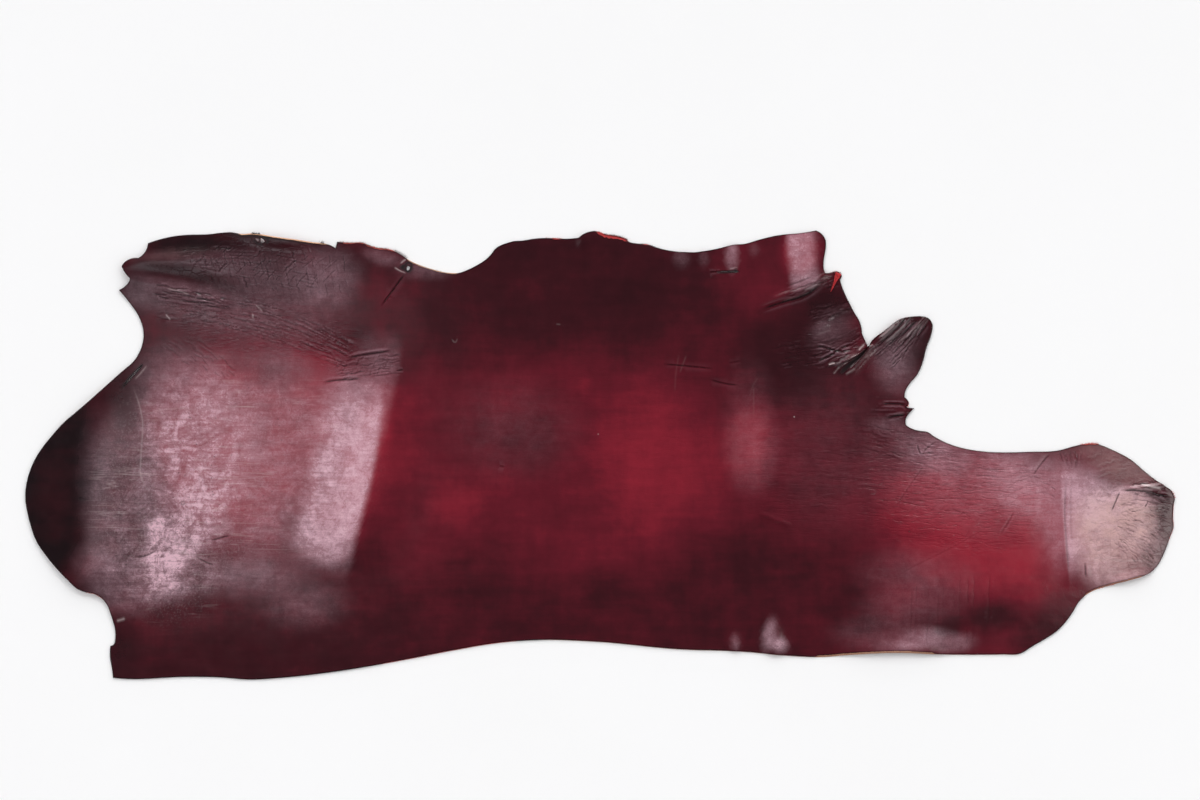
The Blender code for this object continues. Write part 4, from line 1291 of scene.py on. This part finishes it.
class Graph:
    """One material's nodes. A value is a number, a colour or another node's socket."""

    def __init__(self, name):
        self.material = bpy.data.materials.new(name)
        self.material.use_nodes = True
        self.tree = self.material.node_tree
        object_place = self.add("TexCoord").outputs["Object"]
        shifted = self.add("Mapping", Vector=object_place, Location=PATTERN_START)
        self.place = shifted.outputs["Vector"]

    def put(self, value, socket):
        """Sets a socket to a value or links another socket to it."""
        if isinstance(value, bpy.types.NodeSocket):
            self.tree.links.new(value, socket)
        else:
            socket.default_value = value

    def add(self, kind, **inputs):
        """A new node, with some of its inputs set by name."""
        node = self.tree.nodes.new("ShaderNode" + kind)
        for name, value in inputs.items():
            self.put(value, node.inputs[name])
        return node

    def attribute(self, name):
        """One of the values that the mesh has at each point."""
        node = self.add("Attribute")
        node.attribute_name = name
        return node.outputs["Fac"]

    def squeezed(self, squeeze, turn):
        """The place on the sheet, squeezed and turned."""
        turned = (0, 0, math.radians(turn))
        node = self.add("Mapping", Vector=self.place, Rotation=turned, Scale=squeeze)
        return node.outputs["Vector"]

    def noise(self, name):
        """One of the noise patterns, from 0 to 1."""
        made = NOISES[name]
        place = self.squeezed(made.squeeze, made.turn) if made.squeeze else self.place
        node = self.add("TexNoise", Vector=place, Scale=made.scale, Detail=made.detail,
                        Roughness=made.roughness, Distortion=made.distortion)
        return node.outputs["Fac"]

    def cells(self, scale, feature, place):
        """A pattern of cells, as the distance from their middles or their borders."""
        node = self.add("TexVoronoi", Vector=place, Scale=scale)
        node.feature = feature
        return node.outputs["Distance"]

    def math(self, operation, a, b):
        node = self.add("Math")
        node.operation = operation
        self.put(a, node.inputs[0])
        self.put(b, node.inputs[1])
        return node.outputs[0]

    def plus(self, a, b):
        return self.math("ADD", a, b)

    def times(self, a, b):
        return self.math("MULTIPLY", a, b)

    def above(self, value):
        """The part of a value above zero."""
        return self.math("MAXIMUM", value, 0.0)

    def below(self, value):
        """How far a value is below zero."""
        return self.above(self.times(value, -1.0))

    def swing(self, noise, size):
        """A noise pattern as a swing round zero, times a size."""
        return self.times(self.math("SUBTRACT", noise, NOISE_MIDDLE), size)

    def ranged(self, value, low, high, out_low=0.0, out_high=1.0):
        """The value's run from low to high, carried to the run from out_low to out_high."""
        node = self.add("MapRange")
        node.interpolation_type = "SMOOTHSTEP"
        for socket, number in zip(node.inputs[:5], (value, low, high, out_low, out_high)):
            self.put(number, socket)
        return node.outputs["Result"]

    def mix(self, share, a, b):
        """The first colour, with a share of it turned into the second."""
        node = self.add("Mix")
        node.data_type = "RGBA"
        self.put(share, node.inputs[0])
        self.put(a, node.inputs[6])
        self.put(b, node.inputs[7])
        return node.outputs[2]

    def ramp(self, value, stops):
        node = self.add("ValToRGB", Fac=value)
        elements = node.color_ramp.elements
        elements[0].position, elements[0].color = stops[0]
        elements[1].position, elements[1].color = stops[-1]
        for position, colour in stops[1:-1]:
            elements.new(position).color = colour
        return node.outputs["Color"]

    def bump(self, name, height, under=None):
        """One of the reliefs, from its height, on top of the relief under it."""
        relief = RELIEFS[name]
        node = self.add("Bump", Strength=relief.strength, Distance=relief.depth, Height=height)
        if under is not None:
            self.put(under, node.inputs["Normal"])
        return node.outputs["Normal"]

    def finished(self, colour, roughness, normal=None, specular=GLOSSY):
        """The material, once its surface has its colour, gloss and relief."""
        surface = self.tree.nodes["Principled BSDF"].inputs
        self.put(colour, surface["Base Color"])
        self.put(roughness, surface["Roughness"])
        surface["Specular IOR Level"].default_value = specular
        if normal is not None:
            self.put(normal, surface["Normal"])
        return self.material


BURNT = (0.010, 0.0045, 0.0055, 1)
MAROON = (0.042, 0.0064, 0.0100, 1)
BURGUNDY = (0.118, 0.0095, 0.0185, 1)
FULL_RED = (0.27, 0.017, 0.032, 1)
DYE_STOPS = ((0.0, BURNT), (0.36, MAROON), (0.66, BURGUNDY), (1.0, FULL_RED))
# The pale colour of the real bloom and of the painted sheen and highlights, crease lips included
SHEEN_AND_BLOOM_COLOUR = (0.67, 0.42, 0.495, 1)
# Brown leather under thin dye, also a warm painted highlight on the head
BROWN_AND_WARM_SHEEN = (0.58, 0.355, 0.335, 1)
# The pale colour of scratches, flecks and scuffs, and of the painted glints
SCRATCH_AND_GLINT = (0.62, 0.50, 0.50, 1)
SHADOW = (0.009, 0.0045, 0.005, 1)
# How far the clouds, drifts, mottle, streaks and uprights swing the dye
DYE_SWINGS = (0.36, 0.20, 0.13, 0.19, 0.11)

# Rubs: what a pattern does to the bloom and the painted sheen. The run of its noise from low to
# high adds from least to most of them, all of it where the leather is speckled and the even share of
# it elsewhere.
Rub = namedtuple("Rub", "noise low high least most")
RUBS = table(Rub, (
    ("blotches", 0.36, 0.64, -0.42, 0.42),
    ("strokes", 0.34, 0.66, -0.62, 0.40),
    ("brushing level", 0.36, 0.64, -0.24, 0.24),
    ("brushing steep", 0.36, 0.64, -0.24, 0.24),
))
EVEN_RUB = 0.35

# Ranges of the other patterns: where the run of the noise starts and ends, and what it becomes
SHEEN_AND_BLOOM_RANGE = (0.30, 0.70, 0.50, 0.74)
DUST_RANGE = (0.32, 0.68, 0.84, 1.16)
TAN_RANGE = (0.3, 0.7, 0.6, 1.2)
PIT_RANGE = (0.66, 0.74, 0.0, 0.7)
FLECK_RANGE = (0.52, 0.66, 0.0, 0.12)
SCUFF_RANGE = (0.61, 0.69, 0.0, 0.22)
SCUFFED_CLOUDS = (0.45, 0.60)
LEVEL_RANGE = (0.36, 0.56)
NET_RANGE = (0.0, 0.07)

# Painted highlight on the lips of creases, and painted shade in their hollows
LIP_PAINTED_HIGHLIGHT = 0.24
HOLLOW_PAINTED_SHADE = 0.82
# The roughness of bare dye, as a range of the mottle, and what the bloom and painted sheen, the
# dark marks and the flecks add
DYE_ROUGHNESS = (0.25, 0.75, 0.14, 0.21)
SHEEN_AND_BLOOM_ROUGHNESS = 0.20
MARK_ROUGHNESS = 0.22
FLECK_ROUGHNESS = 0.22


def dyed(g, clouds, mottle):
    """Cloudy burgundy: the dye's strength, swung up and down by patterns of several sizes."""
    dye = g.attribute("dye")
    patterns = (clouds, g.noise("drifts"), mottle, g.noise("streaks"), g.noise("uprights"))
    for pattern, size in zip(patterns, DYE_SWINGS):
        dye = g.plus(dye, g.swing(pattern, size))
    return g.ramp(dye, DYE_STOPS)


def sheen_and_bloom_share(g, mottle, speckle):
    """How much bloom and painted sheen lie on the dye: blotches, strokes and fine brush marks."""
    rubbing = g.plus(g.times(speckle, 1 - EVEN_RUB), EVEN_RUB)
    share = g.times(g.attribute("sheen_and_bloom"), g.ranged(mottle, *SHEEN_AND_BLOOM_RANGE))
    for rub in RUBS:
        rubbed = g.ranged(g.noise(rub.noise), *rub[1:])
        share = g.times(share, g.plus(g.times(rubbing, rubbed), 1.0))
    share = g.times(share, g.ranged(g.noise("dust"), *DUST_RANGE))
    return g.math("MINIMUM", share, 1.0)


def speckled(g, colour, speckle, flecks, clouds):
    """The colour with dark pits, pale flecks and scuffs where the leather is speckled."""
    pits = g.ranged(g.noise("pits"), *PIT_RANGE)
    colour = g.mix(g.times(pits, speckle), colour, SHADOW)
    pale = g.ranged(flecks, *FLECK_RANGE)
    colour = g.mix(g.times(pale, speckle), colour, SCRATCH_AND_GLINT)
    scuffed = g.ranged(clouds, *SCUFFED_CLOUDS)
    for name in ("scuffs one way", "scuffs level", "scuffs other way"):
        scuffs = g.times(g.ranged(g.noise(name), *SCUFF_RANGE), speckle)
        colour = g.mix(g.times(scuffs, scuffed), colour, SCRATCH_AND_GLINT)
    return colour


def lined(g, colour, marks_glints_shadows, dark_marks_and_shade):
    """The colour with its marks, real scratches, painted glints and painted shade among them, and
    with painted highlight on its creases' lips and painted shade in their hollows.
    """
    colour = g.mix(g.above(marks_glints_shadows), colour, SCRATCH_AND_GLINT)
    colour = g.mix(dark_marks_and_shade, colour, SHADOW)
    crease = g.attribute("crease")
    colour = g.mix(g.times(g.below(crease), LIP_PAINTED_HIGHLIGHT), colour, SHEEN_AND_BLOOM_COLOUR)
    return g.mix(g.times(g.above(crease), HOLLOW_PAINTED_SHADE), colour, SHADOW)


def grain_relief(g, speckle):
    """Pores, fine wrinkles, the grit of the speckled parts, and low dents."""
    relief = g.bump("pores", g.cells(PORES, "F1", g.place))
    level = g.ranged(g.noise("level wrinkles"), *LEVEL_RANGE)
    relief = g.bump("level wrinkles", g.times(level, g.attribute("level_wrinkles")), relief)
    net = g.cells(NET, "DISTANCE_TO_EDGE", g.squeezed(NET_SQUEEZE, NET_TURN))
    net = g.times(g.ranged(net, *NET_RANGE), g.attribute("net_wrinkles"))
    relief = g.bump("net wrinkles", net, relief)
    relief = g.bump("grit", g.times(g.noise("grit"), speckle), relief)
    return g.bump("dents", g.noise("dents"), relief)


def grain_leather():
    """The dyed grain side: cloudy burgundy with a rubbed bloom and painted sheen, flecks, pores, fine
    wrinkles, and painted shade and highlight on its creases and marks.
    """
    g = Graph("leather_grain")
    clouds, mottle, flecks = g.noise("clouds"), g.noise("mottle"), g.noise("flecks")
    speckle, marks_glints_shadows = g.attribute("speckle"), g.attribute("marks_glints_shadows")
    sheen_and_bloom = sheen_and_bloom_share(g, mottle, speckle)
    # The dark marks and spots, most of them painted shade, darken the colour and make it rougher
    dark_marks_and_shade = g.below(marks_glints_shadows)
    colour = g.mix(sheen_and_bloom, dyed(g, clouds, mottle), SHEEN_AND_BLOOM_COLOUR)
    # The tan, which on the head is partly a warm painted highlight
    tan = g.times(g.attribute("tan"), g.ranged(mottle, *TAN_RANGE))
    colour = g.mix(tan, colour, BROWN_AND_WARM_SHEEN)
    colour = speckled(g, colour, speckle, flecks, clouds)
    colour = lined(g, colour, marks_glints_shadows, dark_marks_and_shade)
    roughness = g.plus(g.ranged(mottle, *DYE_ROUGHNESS), g.times(sheen_and_bloom, SHEEN_AND_BLOOM_ROUGHNESS))
    roughness = g.plus(roughness, g.times(dark_marks_and_shade, MARK_ROUGHNESS))
    roughness = g.plus(roughness, g.times(g.swing(flecks, FLECK_ROUGHNESS), speckle))
    return g.finished(colour, roughness, grain_relief(g, speckle))


DARK_EDGE = (0.018, 0.007, 0.009, 1)
PALE_CUT = (0.60, 0.36, 0.22, 1)
BROWN_CUT = (0.30, 0.14, 0.08, 1)
RED_FLESH = (0.42, 0.018, 0.018, 1)
DARK_FLESH = (0.10, 0.007, 0.009, 1)
RED_SUEDE = (0.33, 0.040, 0.036, 1)
DULL_SUEDE = (0.20, 0.020, 0.022, 1)
CUT_ROUGHNESS = 0.8
SUEDE_ROUGHNESS = 0.9
FIBRE_ROUGHNESS = 0.85
CUT_TAN_RANGE = (0.35, 0.7)
CUT_RED_RANGE = (0.40, 0.75)
SUEDE_RANGE = (0.3, 0.7)
NAP_RANGE = (0.45, 0.75, 0.0, 0.45)
TORN_RANGE = (0.35, 0.65)


def cut_edge():
    """The cut edge: dark dye, and pale leather or red flesh where the dye didn't reach."""
    g = Graph("leather_cut_edge")
    fibres = g.noise("cut fibres")
    tan = g.mix(g.ranged(fibres, *CUT_TAN_RANGE), PALE_CUT, BROWN_CUT)
    red = g.mix(g.ranged(fibres, *CUT_RED_RANGE), RED_FLESH, DARK_FLESH)
    colour = g.mix(g.attribute("edge_red"), DARK_EDGE, red)
    colour = g.mix(g.attribute("edge_tan"), colour, tan)
    return g.finished(colour, CUT_ROUGHNESS, g.bump("cut fibres", fibres))


def flesh_side():
    """The underside: matt red suede."""
    g = Graph("leather_flesh_side")
    nap = g.noise("nap")
    colour = g.mix(g.ranged(g.noise("suede"), *SUEDE_RANGE), DULL_SUEDE, RED_SUEDE)
    colour = g.mix(g.ranged(nap, *NAP_RANGE), colour, DARK_FLESH)
    return g.finished(colour, SUEDE_ROUGHNESS, g.bump("nap", nap), MATT)


def fibre_material(name, one, other):
    """Torn fibre, in streaks of two tones."""
    g = Graph(name)
    streaks = g.ranged(g.noise("torn fibres"), *TORN_RANGE)
    return g.finished(g.mix(streaks, one, other), FIBRE_ROUGHNESS)


# The pieces

def hide(loops):
    """The whole leather sheet, with the values that its looks need at each point."""
    sheet = closed_sheet(loops)
    values = {
        "dye": patched(sheet.plan, DYE, DYE_BASE),
        "sheen_and_bloom": banded(sheet.plan, patched(sheet.plan, SHEEN_AND_BLOOM), PAINTED_HIGHLIGHT_BANDS),
        "tan": patched(sheet.plan, TAN_AND_HEAD_SHEEN),
        "speckle": patched(sheet.plan, SPECKLE),
        "level_wrinkles": patched(sheet.plan, LEVEL_WRINKLES),
        "net_wrinkles": patched(sheet.plan, NET_WRINKLES),
        "marks_glints_shadows": marked(sheet.plan),
        # Painted shade in the creases' hollows, painted highlight on their lips, and the darker rim
        "crease": sheet.crease,
        "edge_tan": sheet.edge_tan,
        "edge_red": sheet.edge_red,
    }
    materials = (grain_leather(), cut_edge(), flesh_side())
    return mesh_object("hide_leather", sheet.points, sheet.faces, sheet.slots, materials, values)


# The torn tag: where it is joined and where its tip lies, and its gap to the sheet under it. It
# reaches out round the edge, has so many columns of points on each face, and is a little ragged.
TAG_ROOT = (523, 397)
TAG_TIP = (507, 359)
TAG_THICKNESS = 1.2
TAG_GAP = 0.8
TAG_REACH = 3.0
TAG_COLUMNS = 7
TAG_BEND_POINTS = 8
TAG_POINTS = 22
TAG_RAGGED = (0.82, 1.12)
TAG_ROUGH = (-0.12, 0.12)
TAG_TONES = ((0.46, 0.011, 0.016, 1), (0.24, 0.005, 0.008, 1))
# Along the tag from its root: the share of its length, its half width, and how far it curls up
TAG_SECTIONS = (
    (0.0, 6.6, 0.0),
    (0.14, 6.0, 0.3),
    (0.28, 3.6, 0.9),
    (0.45, 2.6, 1.2),
    (0.7, 1.9, 0.9),
    (1.0, 0.5, 0.2),
)


def tag_line():
    """The tag's middle line, from inside the sheet round its edge and back over the grain side."""
    low = THICKNESS * 0.5
    high = THICKNESS + TAG_GAP + TAG_THICKNESS / 2
    shares, widths, curls = zip(*TAG_SECTIONS)
    line = [(0.0, low, widths[0], 0.0)]
    for angle in np.linspace(0, math.pi, TAG_BEND_POINTS)[1:-1]:
        height = (low + high) / 2 - (high - low) / 2 * math.cos(angle)
        line.append((-TAG_REACH * math.sin(angle), height, widths[0], 0.0))
    length = math.dist(TAG_ROOT, TAG_TIP)
    for share in np.linspace(0, 1, TAG_POINTS):
        half = np.interp(share, shares, widths)
        line.append((share * length, high, half, np.interp(share, shares, curls)))
    return line


def torn_tag():
    """The tongue that tore loose at the elbow and folded back, its red flesh side up."""
    root = np.array(TAG_ROOT, dtype=float)
    run = (np.array(TAG_TIP) - root) / math.dist(TAG_ROOT, TAG_TIP)
    across = np.array((-run[1], run[0]))
    base = lifted(root[None, :])[0, 2]
    dice = random.Random(SEED)
    line = tag_line()
    points = []
    for i, (along, height, half, curl) in enumerate(line):
        before, after = line[max(i - 1, 0)], line[min(i + 1, len(line) - 1)]
        rise, advance = after[1] - before[1], after[0] - before[0]
        out = np.array((-rise, advance)) / math.hypot(rise, advance) * TAG_THICKNESS / 2
        ragged = dice.uniform(*TAG_RAGGED)
        for side in (1, -1):
            for place in np.linspace(-side, side, TAG_COLUMNS):
                bow = curl * place * place + dice.uniform(*TAG_ROUGH)
                spot = root + run * (along + side * out[0]) + across * place * half * ragged
                points.append((*spot, base + height + side * out[1] + bow))
    ring = 2 * TAG_COLUMNS
    faces = []
    for i in range(len(line) - 1):
        for j in range(ring):
            a, b = ring * i + j, ring * i + (j + 1) % ring
            faces += [(a, b + ring, b), (a, a + ring, b + ring)]
    last = ring * (len(line) - 1)
    for j in range(1, ring - 1):
        faces += [(0, j, j + 1), (last, last + j + 1, last + j)]
    flesh = fibre_material("leather_tag_flesh", *TAG_TONES)
    return mesh_object("torn_tag", np.array(points), np.array(faces), [0] * len(faces), (flesh,), {})


FIBRE_TONES = {
    "dark": ((0.020, 0.006, 0.008, 1), (0.045, 0.010, 0.012, 1)),
    "red": ((0.30, 0.012, 0.014, 1), (0.55, 0.030, 0.028, 1)),
    "grey": ((0.30, 0.27, 0.27, 1), (0.55, 0.50, 0.50, 1)),
}


def fibre(root, outward, length, dice):
    """One tapered fibre: its points, ring by ring, and its tip."""
    along = np.array((-outward[1], outward[0]))
    bend = dice.uniform(*FIBRE_BEND)
    lift = dice.uniform(*FIBRE_LIFT)
    points = []
    for i in range(FIBRE_STEPS):
        share = i / FIBRE_STEPS
        plan = root[:2] + (outward * share + along * bend * share * share) * length
        height = root[2] + lift * length * share
        radius = FIBRE_RADIUS * (1 - FIBRE_TAPER * share)
        for side in range(FIBRE_SIDES):
            angle = math.tau * side / FIBRE_SIDES
            spot = plan + along * math.cos(angle) * radius
            points.append((*spot, height + math.sin(angle) * radius))
    points.append((*(root[:2] + (outward + along * bend) * length), root[2] + lift * length))
    return points


def fibre_faces():
    """A fibre's triangles, counted from its first point."""
    faces = [(0, 1, 2)]
    for i in range(FIBRE_STEPS - 1):
        for side in range(FIBRE_SIDES):
            a = FIBRE_SIDES * i + side
            b = FIBRE_SIDES * i + (side + 1) % FIBRE_SIDES
            faces += [(a, b + FIBRE_SIDES, b), (a, a + FIBRE_SIDES, b + FIBRE_SIDES)]
    last, tip = FIBRE_SIDES * (FIBRE_STEPS - 1), FIBRE_SIDES * FIBRE_STEPS
    faces += [(last + side, tip, last + (side + 1) % FIBRE_SIDES) for side in range(FIBRE_SIDES)]
    return np.array(faces)


def edge_fibres(tone, outline):
    """All the torn fibres of one tone along the edge, joined."""
    dice = random.Random(SEED)
    outward = -inward(outline)
    pattern = fibre_faces()
    points, faces = [], []
    for tuft in TUFTS:
        if tuft.tone != tone:
            continue
        places = np.nonzero(stretch_share(outline, tuft) > 0)[0].tolist()
        for _ in range(tuft.count):
            i = dice.choice(places)
            spot = outline[i] + (outline[(i + 1) % len(outline)] - outline[i]) * dice.random()
            spot = spot - outward[i] * dice.uniform(*ROOT_DEPTH)
            height = lifted(spot[None, :])[0, 2] + THICKNESS * dice.uniform(*ROOT_HEIGHT)
            aside = np.array((-outward[i][1], outward[i][0]))
            away = outward[i] + aside * dice.uniform(*FIBRE_SPLAY)
            away /= np.linalg.norm(away)
            faces.append(pattern + len(points))
            length = tuft.length * dice.uniform(*FIBRE_LENGTH)
            points += fibre(np.array((*spot, height)), away, length, dice)
    faces = np.concatenate(faces)
    material = fibre_material("leather_fibre_" + tone, *FIBRE_TONES[tone])
    name = "edge_fibres_" + tone
    return mesh_object(name, np.array(points), faces, [0] * len(faces), (material,), {})


# The stage

CAMERA_HEIGHT = 3.2
VIEW_CENTRE = (0.0, 0.121)
VIEW_WIDTH = 2.64
SENSOR = 36.0
FAR_CLIP = 60
FLOOR_HALF = 9.0
FLOOR_TONES = ((0.93, 0.93, 0.93, 1), (0.95, 0.95, 0.955, 1))
FLOOR_ROUGHNESS = 0.9

# Softboxes overhead, facing down: where, how large, how bright they are to look at, and the colour
Softbox = namedtuple("Softbox", "name x y width depth radiance colour")
LIGHT_HEIGHT = 3.2
SOFTBOXES = table(Softbox, (
    ("rump_softbox", -1.62, -0.20, 0.84, 0.78, 1.75, (1.0, 0.93, 1.0)),
    ("hip_softbox", -2.10, -0.20, 0.12, 0.78, 0.5, (1.0, 0.93, 1.0)),
    ("tail_softbox", -2.16, -0.20, 0.24, 0.78, 0.4, (1.0, 0.93, 1.0)),
    ("shank_softbox", -1.50, 0.46, 1.30, 0.22, 0.8, (1.0, 0.94, 1.0)),
    ("head_softbox", 2.48, -0.47, 0.50, 0.50, 5.5, (1.0, 0.93, 0.92)),
    ("neck_softbox", 1.84, -0.10, 0.56, 0.46, 1.2, (1.0, 0.93, 0.96)),
))


def camera():
    """The photo's view, straight down."""
    data = bpy.data.cameras.new("camera")
    data.sensor_width = SENSOR
    data.lens = SENSOR * CAMERA_HEIGHT / VIEW_WIDTH
    data.clip_end = FAR_CLIP
    bpy.context.scene.camera = placed("camera", data, (*VIEW_CENTRE, CAMERA_HEIGHT))


def floor():
    """A plain pale floor."""
    mesh = bpy.data.meshes.new("floor")
    corners = ((-1, -1), (1, -1), (1, 1), (-1, 1))
    mesh.from_pydata([(FLOOR_HALF * x, FLOOR_HALF * y, 0) for x, y in corners], [], [(0, 1, 2, 3)])
    g = Graph("pale_floor")
    colour = g.mix(g.noise("floor"), *FLOOR_TONES)
    mesh.materials.append(g.finished(colour, FLOOR_ROUGHNESS, specular=MATT))
    placed("floor", mesh)


def softbox(box):
    """A softbox's light, which the camera doesn't see."""
    data = bpy.data.lights.new(box.name, "AREA")
    data.shape = "RECTANGLE"
    data.size, data.size_y = box.width, box.depth
    data.energy = box.radiance * math.pi * box.width * box.depth
    data.color = box.colour
    placed(box.name, data, (box.x, box.y, LIGHT_HEIGHT)).visible_camera = False


SKY_STRENGTH = 2.68
# How much brighter the low sky is on the belly side, and darker on the backbone side
SKY_LEAN = 0.75
# Where the sky is brightest and where it is darkest, from 0 to 1 overhead
LOW_SKY = (0.45, (1.0, 1.0, 1.0, 1))
HIGH_SKY = (0.72, (0.02, 0.02, 0.022, 1))


def sky():
    """A studio that is bright near the floor, most of all on the belly side, and dark overhead."""
    world = bpy.data.worlds.new("studio")
    bpy.context.scene.world = world
    world.use_nodes = True
    tree = world.node_tree
    back = tree.nodes["Background"]
    coordinates = tree.nodes.new("ShaderNodeTexCoord")
    split = tree.nodes.new("ShaderNodeSeparateXYZ")
    ramp = tree.nodes.new("ShaderNodeValToRGB")
    tree.links.new(coordinates.outputs["Generated"], split.inputs[0])
    tree.links.new(split.outputs["Z"], ramp.inputs["Fac"])
    tree.links.new(ramp.outputs["Color"], back.inputs["Color"])
    for element, (position, colour) in zip(ramp.color_ramp.elements, (LOW_SKY, HIGH_SKY)):
        element.position = position
        element.color = colour
    leaning = tree.nodes.new("ShaderNodeMath")
    leaning.operation = "MULTIPLY_ADD"
    tree.links.new(split.outputs["Y"], leaning.inputs[0])
    leaning.inputs[1].default_value = SKY_STRENGTH * SKY_LEAN
    leaning.inputs[2].default_value = SKY_STRENGTH
    tree.links.new(leaning.outputs[0], back.inputs["Strength"])


camera()
floor()
for box in SOFTBOXES:
    softbox(box)
sky()
bpy.context.scene.view_settings.view_transform = "Standard"

borders = [rounded_loop(drawn_together(loop)) for loop in underside_loops(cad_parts["hide"])]
side = hide(borders)
tag = torn_tag()
fibres = [edge_fibres(tone, borders[0]) for tone in FIBRE_TONES]
for piece in (side, tag, *fibres):
    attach(piece, "root")
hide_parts("hide")
